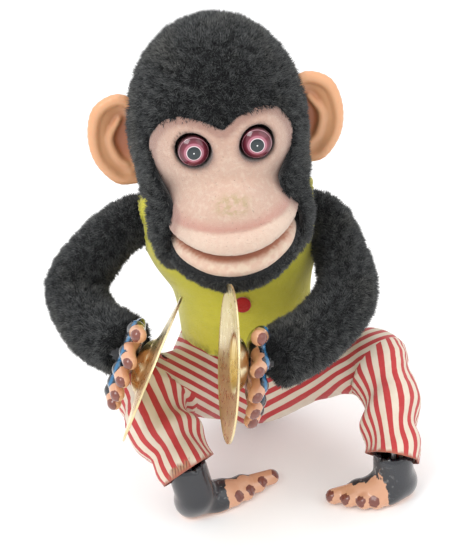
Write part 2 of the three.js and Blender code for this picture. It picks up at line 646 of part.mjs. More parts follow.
function yoke() {
  const holes = Object.values(SIDES).map((s) =>
    rod([s * LEVER_PIN_X, 0, -9], [s * LEVER_PIN_X, 0, 9], 2.2, 12))
  const crossbar = less(box([-19, -4.5, -0.8], [19, 4.5, 0.6]), ...holes)
  const leg = box([-4, -31, -0.8], [4, -4, 0.6])
  groups.shoulders.updateMatrix()
  const upper = moved(union([crossbar, leg]), groups.shoulders.matrix)
  const low = vec([0, -30, 0]).applyMatrix4(groups.shoulders.matrix)
  const strip = box([-4, low.y - 0.7, CRANK.z + 3], [4, low.y + 0.7, low.z + 1])
  const pad = less(
    box([-9, low.y - 0.7, CRANK.z - 5], [9, low.y + 0.7, CRANK.z + 5]),
    box([-6, low.y - 5, CRANK.z - 1.6], [6, low.y + 5, CRANK.z + 1.6])
  )
  add('drive_yoke', 'steel', union([upper, strip, pad]))
}

// ---------------------------------------------------------------- clockwork

// Arbor places as [x, z], each at its wheels' centre distance from the next.
function arbors() {
  const turn = (degrees) => THREE.MathUtils.degToRad(degrees)
  const centres = (a, b, module) => ((a + b) * module) / 2
  const crank = [CRANK.x, CRANK.z]
  const step = centres(SECOND.teeth, THIRD.pinion, SECOND.module)
  const second = [
    crank[0] + step * Math.cos(turn(SECOND.bearing)),
    crank[1] + step * Math.sin(turn(SECOND.bearing))
  ]
  const first = centres(GREAT.teeth, SECOND.pinion, GREAT.module)
  const great = [0, second[1] + Math.sqrt(first ** 2 - second[0] ** 2)]
  const last = centres(THIRD.teeth, FOURTH.pinion, THIRD.module)
  const fourth = [
    crank[0] + last * Math.cos(turn(FOURTH.bearing)),
    crank[1] + last * Math.sin(turn(FOURTH.bearing))
  ]
  return { great, second, crank, fourth }
}

// A spur gear of straight-sided teeth. "toward" is the direction of a tooth's middle, in radians.
function gear([x, z], teeth, module, y0, y1, toward) {
  const pitch = (teeth * module) / 2
  const [tip, root] = [pitch + 0.95 * module, pitch - 1.2 * module]
  const step = (2 * Math.PI) / teeth
  const points = []
  for (let i = 0; i < teeth; i++) {
    const middle = toward + i * step
    for (const [r, half] of [[root, 0.3], [tip, 0.12]]) {
      points.push([r, middle - half * step])
    }
    points.push([tip, middle + 0.12 * step], [root, middle + 0.3 * step])
  }
  return plateXZ(outline(points.map(([r, a]) => [x + r * Math.cos(a), z + r * Math.sin(a)])), y0, y1)
}

const bearing = (from, to) => Math.atan2(to[1] - from[1], to[0] - from[0])
// The tooth direction that puts a gap, not a tooth, on the line to the driving wheel.
const gapToward = (from, to, teeth) => bearing(from, to) + Math.PI / teeth
const arborAt = ([x, z], y0, y1, r = ARBOR_R) => rod([x, y0, z], [x, y1, z], r, 10)

// The two plates and the pillars between them.
function motorFrame() {
  const at = arbors()
  const holes = [
    arborAt(at.second, -20, 20, ARBOR_R + ARBOR_FIT),
    arborAt(at.crank, -20, 20, ARBOR_R + ARBOR_FIT),
    arborAt(at.fourth, -20, 20, ARBOR_R + ARBOR_FIT),
    rod([0, -20, at.great[1]], [0, 20, at.great[1]], WINDING_R + ARBOR_FIT, 16)
  ]
  const half = PLATE.width / 2
  for (const [name, y] of [['motor_front_plate', -PLATE_Y], ['motor_back_plate', PLATE_Y]]) {
    const edge = [[9, PLATE.bottom], [9, 46], [12, 50], [half, 62], [half, 96], [14, PLATE.top]]
    const sheet = outline([...edge, ...edge.map(([x, z]) => [-x, z]).reverse()])
    add(name, 'tin', less(plateXZ(sheet, y - PLATE.thick / 2, y + PLATE.thick / 2), ...holes))
  }
  const inside = PLATE_Y - PLATE.thick / 2 - 0.3
  const pillars = { upper_left: [-18, 98], upper_right: [18, 98], lower: [0, 36] }
  for (const [name, [x, z]] of Object.entries(pillars)) {
    add(`pillar_${name}`, 'steel', rod([x, -inside, z], [x, inside, z], 2.2, 10))
  }
}

const across = ([x, z], y0, y1, r, segments = 8) => rod([x, y0, z], [x, y1, z], r, segments)
// The point at a radius and angle from [x, z], in X and Z.
const around = ([x, z], r, angle) => [x + r * Math.cos(angle), z + r * Math.sin(angle)]

// Winding arbor, ratchet, great wheel and click; the great wheel runs loose on the arbor.
function winding() {
  const { great, second } = arbors()
  add('winding_arbor', 'steel', union([
    across(great, -PLATE_Y - 2, 52, WINDING_R, 14),
    across(great, -4.6, 5.6, WINDING_R + 0.6, 14)
  ]))
  const fit = across(great, -20, 20, WINDING_R + ARBOR_FIT, 16)
  const teeth = Array.from({ length: RATCHET.teeth }, (_, i) => (i / RATCHET.teeth) * 2 * Math.PI)
    .flatMap((angle) => [around(great, RATCHET.root, angle), around(great, RATCHET.tip, angle + 0.02)])
  add('ratchet_wheel', 'steel', less(plateXZ(outline(teeth), ...LAYER.ratchet), fit))

  const rim = gear(great, GREAT.teeth, GREAT.module, ...LAYER.great, bearing(great, second))
  const lightening = [0, 1, 2].map((i) =>
    across(around(great, 10.5, (i / 3) * 2 * Math.PI + 0.3), -20, 0, 3.2))
  const post = around(great, 11.5, CLICK_ANGLE)
  const pin = across(post, LAYER.great[0] + 0.9, LAYER.ratchet[1], 1)
  add('great_wheel', 'brass', union([less(rim, fit, ...lightening), pin]))
  const pawl = [[-2.4, -1.6], [2.2, -2.2], [2.2, 1.8], [-2.2, 2.2], [-7.4, -1.8], [-7.2, -2.6]]
  const plate = plateXZ(outline(pawl.map(([x, z]) => [post[0] + x, post[1] + z])), ...LAYER.click)
  add('click', 'steel', less(plate, across(post, -20, 0, 1.3)))
  add('mainspring', 'steel', mainspring(great))
}

// The second wheel, the crank's wheel with its pin, and the governor's fan.
function train() {
  const at = arbors()
  const end = PLATE_Y + 1.6
  add('second_wheel', 'brass', union([
    arborAt(at.second, -end, end),
    gear(at.second, SECOND.pinion, GREAT.module, -12, -9.4, gapToward(at.second, at.great, SECOND.pinion)),
    gear(at.second, SECOND.teeth, SECOND.module, -7.4, -6.2, bearing(at.second, at.crank))
  ]))
  const disc = -PLATE_Y - 3
  const pin = [CRANK.x, CRANK.z - CRANK.throw]
  add('crank_wheel', 'brass', union([
    arborAt(at.crank, disc, end),
    gear(at.crank, THIRD.pinion, SECOND.module, -8, -5.6, gapToward(at.crank, at.second, THIRD.pinion)),
    gear(at.crank, THIRD.teeth, THIRD.module, -3, -1.8, bearing(at.crank, at.fourth)),
    across(at.crank, disc, disc + 1.4, 5.6, 14),
    across(pin, disc - 1.2, disc + 1, 1.2)
  ]))
  const [fx, fz] = at.fourth
  add('governor_fan', 'brass', union([
    arborAt(at.fourth, -end, end),
    gear(at.fourth, FOURTH.pinion, THIRD.module, -3.8, -1, gapToward(at.fourth, at.crank, FOURTH.pinion)),
    box([fx - 5, 2, fz - 0.6], [fx + 5, 9, fz + 0.6])
  ]))
}

// A flat spiral of spring strip round the winding arbor.
function mainspring([x, z]) {
  const turns = 3
  const perTurn = 12
  const [inner, outer, strip] = [3.8, 11.8, 0.55]
  const edge = (offset) => Array.from({ length: turns * perTurn + 1 }, (_, i) => {
    const share = i / (turns * perTurn)
    const r = THREE.MathUtils.lerp(inner, outer, share) + offset
    const angle = share * turns * 2 * Math.PI
    return [x + r * Math.cos(angle), z + r * Math.sin(angle)]
  })
  return plateXZ(outline([...edge(strip), ...edge(0).reverse()]), -4.4, 5.4)
}

function key() {
  const z = windingZ()
  const wing = (s) => {
    const shape = new THREE.Shape()
    shape.absellipse(s * 10, 0, 9, 8, 0, 2 * Math.PI)
    const eye = new THREE.Path()
    eye.absellipse(s * 10, 0, 4.5, 4, 0, 2 * Math.PI)
    shape.holes.push(eye)
    const geometry = new THREE.ExtrudeGeometry(shape, { depth: 1.6, bevelEnabled: false, curveSegments: 7 })
    geometry.translate(0, 0, -0.8)
    return shifted(solid(geometry), 0, 57, z)
  }
  add('winding_key', 'steel', less(
    union([wing(-1), wing(1), rod([0, 41, z], [0, 60, z], 4.2, 12)]),
    rod([0, 30, z], [0, 53, z], WINDING_R + ARBOR_FIT, 14)
  ))
}

// ---------------------------------------------------------------- assembly

base()
torso()
trousers()
legs()
neck()
head()
eyes()
ears()
arms()
yoke()
motorFrame()
winding()
train()
key()

// The origin is the bottom centre of the whole toy's box.
toy.updateMatrixWorld(true)
const bounds = new THREE.Box3().setFromObject(toy, true)
const centre = bounds.getCenter(new THREE.Vector3())
toy.position.set(-centre.x, -centre.y, -bounds.min.z)

export default toy
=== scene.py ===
"""The looks of a sitting clockwork monkey that claps two cymbals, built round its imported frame.

Shapes are worked out in millimetres in the toy's own axes (x to the viewer's right, y away from the
viewer, z up, the origin under the shoulders) and to_frame() turns them into the frame's metres.
"left" and "right" are the viewer's.
"""
import json
import math
from functools import partial

import bmesh
import bpy
import numpy as np
from mathutils import Matrix, Vector


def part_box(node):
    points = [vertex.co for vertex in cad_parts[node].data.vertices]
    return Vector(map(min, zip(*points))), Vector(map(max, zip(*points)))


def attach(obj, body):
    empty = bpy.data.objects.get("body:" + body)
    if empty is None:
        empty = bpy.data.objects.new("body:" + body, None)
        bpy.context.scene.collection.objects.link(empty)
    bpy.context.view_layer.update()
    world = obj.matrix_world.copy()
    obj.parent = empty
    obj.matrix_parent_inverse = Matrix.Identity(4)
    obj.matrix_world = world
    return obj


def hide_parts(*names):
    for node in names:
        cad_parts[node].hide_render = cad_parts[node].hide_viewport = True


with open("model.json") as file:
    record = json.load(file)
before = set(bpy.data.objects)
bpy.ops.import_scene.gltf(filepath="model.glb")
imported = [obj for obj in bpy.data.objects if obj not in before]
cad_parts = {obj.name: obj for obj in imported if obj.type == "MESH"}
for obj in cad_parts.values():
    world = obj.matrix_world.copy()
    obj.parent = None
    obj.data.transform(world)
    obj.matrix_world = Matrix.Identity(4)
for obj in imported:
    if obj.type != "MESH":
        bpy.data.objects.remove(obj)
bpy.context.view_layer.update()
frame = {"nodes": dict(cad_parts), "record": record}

# ---- where the toy stands

MM = 0.001
SHOULDER_Z = 148
joints = {joint["name"]: joint for joint in frame["record"]["behaviour"]["joints"]}
pivots = [np.array(joints[name]["pos_m"]) for name in ("left_arm_swing", "right_arm_swing")]
ORIGIN = sum(pivots) / 2 - np.array([0, 0, SHOULDER_Z * MM])
SIDES = {"left": -1, "right": 1}
PILE = 3.4  # how far the plush stands off its backing
HEAD_TUFTS, CHIN_TUFTS, ARM_TUFTS = 60000, 22000, 62000  # HEAD_TUFTS twice: the crown, then the cheeks
LEAN = (0, 0, -0.15)  # how the tufts droop


def to_frame(points):
    return np.asarray(points, float) * MM + ORIGIN


def toy_box(node):
    """A CAD node's lowest and highest corner in the toy's millimetres."""
    return [(np.array(corner) - ORIGIN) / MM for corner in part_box(node)]


# ---- the camera

CAMERA = {"target": (0, -15, 125), "elevation": 27, "roll": 6, "distance": 620, "lens": 72.26}
SHIFT = (-0.0054, -0.0288)


def make_camera():
    tilt, roll = math.radians(CAMERA["elevation"]), math.radians(CAMERA["roll"])
    forward = Vector((0, math.cos(tilt), -math.sin(tilt)))
    up = Vector((0, math.sin(tilt), math.cos(tilt)))
    right = Vector((1, 0, 0))
    side = right * math.cos(roll) - up * math.sin(roll)
    top = right * math.sin(roll) + up * math.cos(roll)
    data = bpy.data.cameras.new("camera")
    data.lens = CAMERA["lens"]
    data.sensor_width = 36
    data.shift_x, data.shift_y = SHIFT
    data.clip_end = 10
    camera = bpy.data.objects.new("camera", data)
    place = Matrix((side, top, -forward)).transposed().to_4x4()
    target = Vector(to_frame(CAMERA["target"]))
    place.translation = target - forward * CAMERA["distance"] * MM
    camera.matrix_world = place
    bpy.context.scene.collection.objects.link(camera)
    bpy.context.scene.camera = camera


make_camera()

# ---- curves and distance fields


def spline(points, steps, closed=False):
    """A smooth line through the points: a uniform Catmull-Rom curve with so many steps a stretch."""
    points = np.asarray(points, float)
    before, after = 2 * points[0] - points[1], [2 * points[-1] - points[-2]]
    if closed:
        before, after = points[-1], points[:2]
    around = np.vstack([before, points, *after])
    line = []
    for a, b, c, d in zip(around, around[1:], around[2:], around[3:]):
        bend, twist = 2 * a - 5 * b + 4 * c - d, 3 * b - a - 3 * c + d
        for t in np.arange(steps) / steps:
            line.append(0.5 * (2 * b + (c - a) * t + bend * t**2 + twist * t**3))
    if not closed:
        line.append(points[-1])
    return np.array(line)


def unit(way):
    return np.asarray(way, float) / np.linalg.norm(way)


def lengths(rows):
    return np.linalg.norm(rows, axis=1)


def units(rows):
    return rows / lengths(rows)[:, None]


def step(low, high, value):
    """0 below low, 1 above high and smooth between."""
    t = np.clip((value - low) / (high - low), 0, 1)
    return t * t * (3 - 2 * t)


def ball(p, centre, radii):
    """About how far p is outside an ellipsoid."""
    q = (p - np.array(centre, float)) / np.array(radii, float)
    near, slope = lengths(q), lengths(q / np.array(radii, float))
    return near * (near - 1) / np.maximum(slope, 1e-9)


def bar(p, a, b, ra, rb=None):
    """How far p is outside a round-ended bar whose radius runs from ra to rb."""
    a, b = np.array(a, float), np.array(b, float)
    along = b - a
    t = np.clip(((p - a) @ along) / (along @ along), 0, 1)
    radius = ra + (ra if rb is None else rb) * t - ra * t
    return lengths(p - a - t[:, None] * along) - radius


def join(a, b, soft):
    h = np.clip(0.5 + 0.5 * (b - a) / soft, 0, 1)
    return b * (1 - h) + a * h - soft * h * (1 - h)


def cut(a, b, soft):
    """a with b taken out of it."""
    return -join(-a, b, soft)


def chain(p, line, radii, soft):
    """A bent round bar along a line of points, its radius given at the line's ends or all along it."""
    places = np.linspace(0, 1, len(line))
    radius = np.interp(places, np.linspace(0, 1, len(radii)), radii)
    field = bar(p, line[0], line[1], radius[0], radius[1])
    for i in range(1, len(line) - 1):
        field = join(field, bar(p, line[i], line[i + 1], radius[i], radius[i + 1]), soft)
    return field


def inside_outline(flat, line):
    """How far flat points are outside a closed line."""
    best = np.full(len(flat), 1e9)
    crossings = np.zeros(len(flat), int)
    for a, b in zip(line, np.roll(line, -1, axis=0)):
        along = b - a
        t = np.clip(((flat - a) @ along) / (along @ along), 0, 1)
        best = np.minimum(best, lengths(flat - a - t[:, None] * along))
        above = (a[1] > flat[:, 1]) != (b[1] > flat[:, 1])
        if a[1] != b[1]:
            x = a[0] + (flat[:, 1] - a[1]) / (b[1] - a[1]) * along[0]
            crossings += above & (flat[:, 0] < x)
    return np.where(crossings % 2 == 1, -best, best)


def waves(p, seed, size, count=6):
    """Smooth noise between about -1 and 1 that repeats over about "size"."""
    rng = np.random.default_rng(seed)
    total = np.zeros(len(p))
    for _ in range(count):
        direction = unit(rng.normal(size=3))
        pitch = size * rng.uniform(0.7, 1.5)
        total += np.sin(p @ direction * 2 * math.pi / pitch + rng.uniform(0, 6.3))
    return total / math.sqrt(count)


# ---- meshes


def slope_of(field, p):
    """The field's direction of steepest rise at p."""
    rise = np.stack([field(p + axis) - field(p - axis) for axis in 0.2 * np.eye(3)], axis=1)
    return rise / np.maximum(lengths(rise), 1e-9)[:, None]


def skin(field, low, high, cell):
    """The surface where the field is 0, as points and four-sided faces pointing out."""
    low = np.array(low, float)
    counts = np.ceil((np.array(high, float) - low) / cell).astype(int) + 1
    axes = [low[i] + cell * np.arange(counts[i]) for i in range(3)]
    grid = np.stack(np.meshgrid(*axes, indexing="ij"), -1)
    value = field(grid.reshape(-1, 3)).reshape(counts)
    cells = counts - 1
    total = np.zeros((*cells, 3))
    number = np.zeros(cells)
    crossed = []
    for axis in range(3):
        v0 = np.take(value, range(0, counts[axis] - 1), axis)
        v1 = np.take(value, range(1, counts[axis]), axis)
        cross = (v0 < 0) != (v1 < 0)
        share = np.where(cross, v0 / np.where(v0 == v1, 1, v0 - v1), 0)
        crossed.append((cross, v0 < 0))
        b, c = (axis + 1) % 3, (axis + 2) % 3
        for db in (0, 1):
            for dc in (0, 1):
                part = [slice(None)] * 3
                part[b] = slice(db, db + cells[b])
                part[c] = slice(dc, dc + cells[c])
                here, at = cross[tuple(part)], share[tuple(part)]
                total[..., axis] += at
                total[..., b] += here * db
                total[..., c] += here * dc
                number += here
    used = number > 0
    index = np.full(cells, -1)
    index[used] = np.arange(used.sum())
    corner = np.stack(np.nonzero(used), axis=1)
    points = low + cell * (corner + total[used] / number[used][:, None])
    faces = []
    for axis, (cross, inside) in enumerate(crossed):
        b, c = (axis + 1) % 3, (axis + 2) % 3
        at = np.stack(np.nonzero(cross), axis=1)
        at = at[(at[:, b] > 0) & (at[:, b] < cells[b]) & (at[:, c] > 0) & (at[:, c] < cells[c])]
        quads = []
        for db, dc in ((-1, -1), (0, -1), (0, 0), (-1, 0)):
            where = at.copy()
            where[:, b] += db
            where[:, c] += dc
            quads.append(index[tuple(where.T)])
        quads = np.stack(quads, axis=1)
        out = inside[tuple(at.T)]
        faces.append(np.where(out[:, None], quads, quads[:, ::-1]))
    for _ in range(3):
        distance = field(points)
        points = points - np.clip(distance, -cell / 2, cell / 2)[:, None] * slope_of(field, points)
    return points, np.concatenate(faces)


def mesh_object(name, points, faces):
    """An object whose mesh has these frame points and faces, all faces with as many sides."""
    faces = np.asarray(faces, np.int32)
    sides = faces.shape[1]
    mesh = bpy.data.meshes.new(name)
    mesh.vertices.add(len(points))
    mesh.vertices.foreach_set("co", np.asarray(points, np.float32).ravel())
    mesh.loops.add(faces.size)
    mesh.loops.foreach_set("vertex_index", faces.ravel())
    mesh.polygons.add(len(faces))
    mesh.polygons.foreach_set("loop_start", np.arange(0, faces.size, sides, dtype=np.int32))
    mesh.update(calc_edges=True)
    mesh.validate()
    mesh.polygons.foreach_set("use_smooth", [True] * len(mesh.polygons))
    obj = bpy.data.objects.new(name, mesh)
    bpy.context.scene.collection.objects.link(obj)
    return obj


def note(obj, **values):
    """Stores a number for each of the mesh's points under each name."""
    for name, numbers in values.items():
        attribute = obj.data.attributes.new(name, "FLOAT", "POINT")
        attribute.data.foreach_set("value", np.asarray(numbers, np.float32))


def finished(obj, body, slot, material, *nodes):
    """Gives the piece its material, hangs it on the empty of the body that it rides on and hides the nodes
    that it stands for. The slot is not used.
    """
    obj.data.materials.append(material)
    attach(obj, body)
    if nodes:
        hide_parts(*nodes)
    return obj


def piece(name, points, faces, *told):
    """A finished object from points in the toy's millimetres."""
    return finished(mesh_object(name, to_frame(points), faces), *told)


def thicken(obj, thickness):
    """Gives an open sheet its thickness, on the inside."""
    solid = obj.modifiers.new("thickness", "SOLIDIFY")
    solid.thickness = thickness * MM
    solid.offset = -1


def ring_faces(rings, sides):
    """Four-sided faces from each closed ring of points to the next."""
    here = np.arange(sides)
    after = (here + 1) % sides
    band = np.stack([here, after, after + sides, here + sides], axis=1)
    return (band + sides * np.arange(rings - 1)[:, None, None]).reshape(-1, 4)


def pile(name, body, points, faces, outward, count, seed, length=PILE, width=0.36):
    """Plush: so many tapered tufts rooted evenly over a skin, in the toy's millimetres."""
    rng = np.random.default_rng(seed)
    triangles = np.concatenate([faces[:, [0, 1, 2]], faces[:, [0, 2, 3]]])
    a, b, c = (points[triangles[:, i]] for i in range(3))
    area = lengths(np.cross(b - a, c - a))
    pick = rng.choice(len(triangles), count, p=area / area.sum())
    u, v = rng.random(count), rng.random(count)
    fold = u + v > 1
    u, v = (np.where(fold, 1 - x, x)[:, None] for x in (u, v))
    i, j, k = triangles[pick].T
    blend = lambda x: (1 - u - v) * x[i] + u * x[j] + v * x[k]
    root, normal = blend(points), blend(outward)
    swirl = np.stack([waves(root, seed + axis, 5.5) for axis in range(3)], axis=1)
    way = units(normal + 0.42 * swirl + 0.3 * rng.normal(size=(count, 3)) + np.array(LEAN))
    tall = length * rng.uniform(0.6, 1.3, count)[:, None] * (1 + 0.12 * waves(root, seed + 7, 7))[:, None]
    root = root - 0.5 * normal
    side = units(np.cross(way, rng.normal(size=(count, 3))))
    other = np.cross(way, side)
    thirds = (0, 2 * math.pi / 3, 4 * math.pi / 3)
    corners = [root + width * (math.cos(turn) * side + math.sin(turn) * other) for turn in thirds]
    tip = root + way * (tall + 0.5)
    all_points = np.stack([*corners, tip], axis=1).reshape(-1, 3)
    base = 4 * np.arange(count)[:, None]
    tufts = np.concatenate([base + np.array([[i, (i + 1) % 3, 3]]) for i in range(3)], axis=1)
    obj = mesh_object(name, to_frame(all_points), tufts.reshape(-1, 3))
    clump = step(-0.8, 1.2, waves(root, seed + 9, 3.2, 12))
    own = np.clip(0.4 * clump + 0.6 * rng.random(count) ** 2.2, 0, 1)
    # "tip" runs from 0 at a tuft's root to 1 at its tip; plush_pile paints shade near the root from it.
    note(obj, tip=np.tile([0, 0, 0, 1.0], count), shade=np.repeat(own, 4))
    finished(obj, body, "black_plush", FUR)


# ---- material nodes


class Paint:
    """A material under construction: each method adds a node and returns its output."""

    def __init__(self, name, roughness=0.6, metallic=0.0, **sockets):
        self.material = bpy.data.materials.new(name)
        self.material.use_nodes = True
        self.nodes = self.material.node_tree.nodes
        self.links = self.material.node_tree.links
        self.shader = self.nodes["Principled BSDF"]
        self.shader.inputs["Roughness"].default_value = roughness
        self.shader.inputs["Metallic"].default_value = metallic
        for socket, value in sockets.items():
            self.shader.inputs[socket.replace("_", " ")].default_value = value
        self.place = self.add("ShaderNodeTexCoord", "Object")

    def put(self, socket, value):
        if isinstance(value, bpy.types.NodeSocket):
            self.links.new(value, socket)
        elif isinstance(value, tuple) and len(value) == 3 and socket.type == "RGBA":
            socket.default_value = (*value, 1)
        else:
            socket.default_value = value

    def add(self, kind, output=0, inputs=None, **settings):
        node = self.nodes.new(kind)
        for name, value in settings.items():
            setattr(node, name, value)
        for name, value in (inputs or {}).items():
            self.put(node.inputs[name], value)
        return node.outputs[output]

    def noise(self, size, detail=3, stretch=None):
        """Noise from 0 to 1 whose spots are about "size" millimetres across."""
        place = self.place
        if stretch:
            place = self.add("ShaderNodeMapping", inputs={"Vector": place, "Scale": stretch})
        inputs = {"Vector": place, "Scale": 1 / (size * MM), "Detail": detail}
        return self.add("ShaderNodeTexNoise", inputs=inputs)

    def value(self, name):
        return self.add("ShaderNodeAttribute", "Fac", attribute_name=name)

    def along(self, way, start):
        """How many millimetres a point is past the toy's point "start" along "way"."""
        way = np.array(way, float)
        vectors = {0: self.place, 1: tuple(way / MM)}
        dot = self.add("ShaderNodeVectorMath", "Value", vectors, operation="DOT_PRODUCT")
        return self.math("SUBTRACT", dot, float(way @ (np.array(start) + ORIGIN / MM)))

    def math(self, operation, a, b=0.0):
        return self.add("ShaderNodeMath", inputs={0: a, 1: b}, operation=operation)

    def times(self, a, b):
        return self.math("MULTIPLY", a, b)

    def plus(self, a, b):
        return self.math("ADD", a, b)

    def fade(self, value, low, high, to_low=0.0, to_high=1.0):
        """value run from low..high to to_low..to_high, smoothly and clamped."""
        inputs = {0: value, 1: low, 2: high, 3: to_low, 4: to_high}
        return self.add("ShaderNodeMapRange", inputs=inputs, interpolation_type="SMOOTHSTEP")

    def mix(self, share, a, b):
        node = self.nodes.new("ShaderNodeMix")
        node.data_type = "RGBA"
        for socket, value in ((0, share), (6, a), (7, b)):
            self.put(node.inputs[socket], value)
        return node.outputs[2]

    def colour(self, value):
        self.put(self.shader.inputs["Base Color"], value)

    def rough(self, value):
        self.put(self.shader.inputs["Roughness"], value)

    def patchy(self, size, low, high, detail=3):
        """Roughness that runs from low to high in patches of this size."""
        self.rough(self.fade(self.noise(size, detail), 0.3, 0.7, low, high))

    def bump(self, height, deep):
        """Height from 0 to 1 stands "deep" millimetres. The last call on a material, which it returns."""
        node = self.nodes.new("ShaderNodeBump")
        node.inputs["Strength"].default_value = 1.0
        node.inputs["Distance"].default_value = deep * MM
        self.put(node.inputs["Height"], height)
        self.links.new(node.outputs[0], self.shader.inputs["Normal"])
        return self.material


def plush_backing():
    m = Paint("plush_backing", roughness=1, Sheen_Weight=0.2)
    m.colour(m.mix(m.noise(2.5), (0.004, 0.005, 0.006), (0.012, 0.013, 0.014)))
    return m.bump(m.noise(1.2, 4), 1.0)


def plush_pile():
    m = Paint("plush_pile", roughness=0.9, Sheen_Weight=0.08, Sheen_Roughness=0.5)
    tip = m.value("tip")
    own = m.value("shade")
    # Each tuft fades to near-black towards its root: painted shade deep in the pile.
    root = (0.003, 0.0035, 0.005)
    dull = m.mix(own, (0.012, 0.014, 0.018), (0.23, 0.24, 0.235))
    pale = m.mix(own, (0.03, 0.032, 0.03), (0.30, 0.30, 0.28))
    m.colour(m.mix(m.fade(tip, 0.25, 1.0), root, m.mix(m.fade(m.noise(22), 0.45, 0.7), dull, pale)))
    return m.material


def face_knit():
    m = Paint("face_knit", roughness=0.9, Sheen_Weight=0.35, Sheen_Roughness=0.6)
    flesh = m.mix(m.noise(14), (0.64, 0.40, 0.30), (0.70, 0.49, 0.38))
    cream = (0.76, 0.60, 0.48)
    tone = m.mix(m.times(m.fade(m.noise(2.2, 6), 0.45, 0.68), 0.55), flesh, cream)
    specks = m.fade(m.noise(1.3, 3), 0.66, 0.74)
    for share, over in (
        (m.times(m.value("ridge"), 0.85), cream),
        (m.times(m.value("pink"), 0.75), (0.62, 0.29, 0.23)),
        (m.times(m.value("nose"), m.fade(m.noise(3), 0.35, 0.6)), (0.50, 0.37, 0.19)),
        (m.times(specks, 0.55), (0.22, 0.12, 0.08)),
        # Painted shade: darker along the face's outline, where the plush stands over the knit, and round each
        # eye socket.
        (m.value("edge"), (0.34, 0.17, 0.13)),
        # Painted shade: near-black on the walls of the eye sockets, round the eyes.
        (m.value("hollow"), (0.01, 0.007, 0.007)),
    ):
        tone = m.mix(share, tone, over)
    m.colour(tone)
    weave = m.plus(m.noise(0.9, 2, (1, 1, 3.2)), m.times(m.noise(2.4), 0.6))
    return m.bump(weave, 0.85)


def mouth_knit():
    m = Paint("mouth_knit", roughness=0.85, Sheen_Weight=0.3)
    cream = m.mix(m.fade(m.noise(4, 5), 0.4, 0.65), (0.70, 0.48, 0.37), (0.76, 0.60, 0.47))
    inner = m.mix(m.noise(3), (0.40, 0.14, 0.08), (0.5, 0.2, 0.12))
    m.colour(m.mix(m.value("inner"), cream, inner))
    return m.bump(m.noise(0.7, 2, (1, 1, 3.2)), 0.3)


def vinyl(name, light, deep):
    m = Paint(name, roughness=0.38, Coat_Weight=0.25, Coat_Roughness=0.3, Subsurface_Weight=0.12,
              Subsurface_Scale=0.003)
    base = m.mix(m.noise(9), light, tuple(c * 0.93 for c in light))
    # "fold" marks the deep back of an ear's cup; the deep colour laid there is painted shade.
    m.colour(m.mix(m.value("fold"), base, deep))
    m.patchy(6, 0.3, 0.48)
    return m.bump(m.noise(1.5, 4), 0.06)


def painted_vinyl():
    """Hands and feet: moulded flesh vinyl with black and brown paint."""
    m = Paint("painted_vinyl", roughness=0.25, Coat_Weight=0.6, Coat_Roughness=0.08)
    flesh = m.mix(m.noise(6), (0.62, 0.30, 0.17), (0.70, 0.39, 0.24))
    black = m.mix(m.noise(8), (0.008, 0.009, 0.013), (0.018, 0.02, 0.028))
    worn = m.times(m.value("worn"), m.fade(m.noise(2.2, 5), 0.55, 0.66))
    black = m.mix(worn, black, (0.2, 0.2, 0.2))
    frayed = m.times(m.math("SUBTRACT", m.noise(2.5, 5), 0.5), 0.7)
    ragged = m.plus(m.value("black"), frayed)
    coat = m.mix(m.fade(ragged, 0.46, 0.54), flesh, black)
    coat = m.mix(m.value("blue"), coat, (0.02, 0.16, 0.34))
    nail = m.mix(m.noise(3), (0.14, 0.035, 0.025), (0.24, 0.07, 0.045))
    m.colour(m.mix(m.fade(m.value("nail"), 0.42, 0.58), coat, nail))
    m.rough(m.fade(m.value("worn"), 0, 1, 0.22, 0.5))
    return m.bump(m.noise(1.8, 4), 0.12)


def felt(name, light, dark):
    m = Paint(name, roughness=0.95, Sheen_Weight=0.5, Sheen_Roughness=0.4)
    base = m.mix(m.noise(5, 5), dark, light)
    soiled = m.times(m.value("soil"), m.fade(m.noise(6), 0.35, 0.7))
    m.colour(m.mix(soiled, base, tuple(c * 0.45 for c in dark)))
    fibres = m.plus(m.noise(0.9, 4), m.times(m.noise(1.1, 2, (0.35, 0.35, 2.6)), 0.8))
    return m.bump(fibres, 0.5)


def brass():
    m = Paint("cymbal_brass", roughness=0.22, metallic=1)
    tone = m.mix(m.fade(m.noise(16, 4), 0.35, 0.7), (0.88, 0.76, 0.48), (0.80, 0.67, 0.38))
    m.colour(m.mix(m.fade(m.noise(3, 5), 0.62, 0.78), tone, (0.62, 0.50, 0.27)))
    m.patchy(5, 0.22, 0.42, 5)
    rings = m.math("SINE", m.times(m.value("radius"), 6.5))
    return m.bump(m.plus(m.times(rings, 0.3), m.noise(6)), 0.08)


def metal(name, tone, roughness):
    m = Paint(name, roughness=roughness, metallic=1)
    dark = tuple(c * 0.64 for c in tone)
    m.colour(m.mix(m.fade(m.noise(4, 4), 0.35, 0.7), tone, dark))
    m.patchy(7, roughness - 0.06, roughness + 0.1, 4)
    return m.bump(m.noise(0.8, 3), 0.03)


def dark_plastic():
    m = Paint("dark_plastic", roughness=0.4)
    tone = (0.012, 0.012, 0.014)
    m.colour(m.mix(m.noise(5), tone, tuple(c * 2.2 for c in tone)))
    m.patchy(5, 0.3, 0.5, 4)
    return m.bump(m.noise(1.2, 4), 0.05)


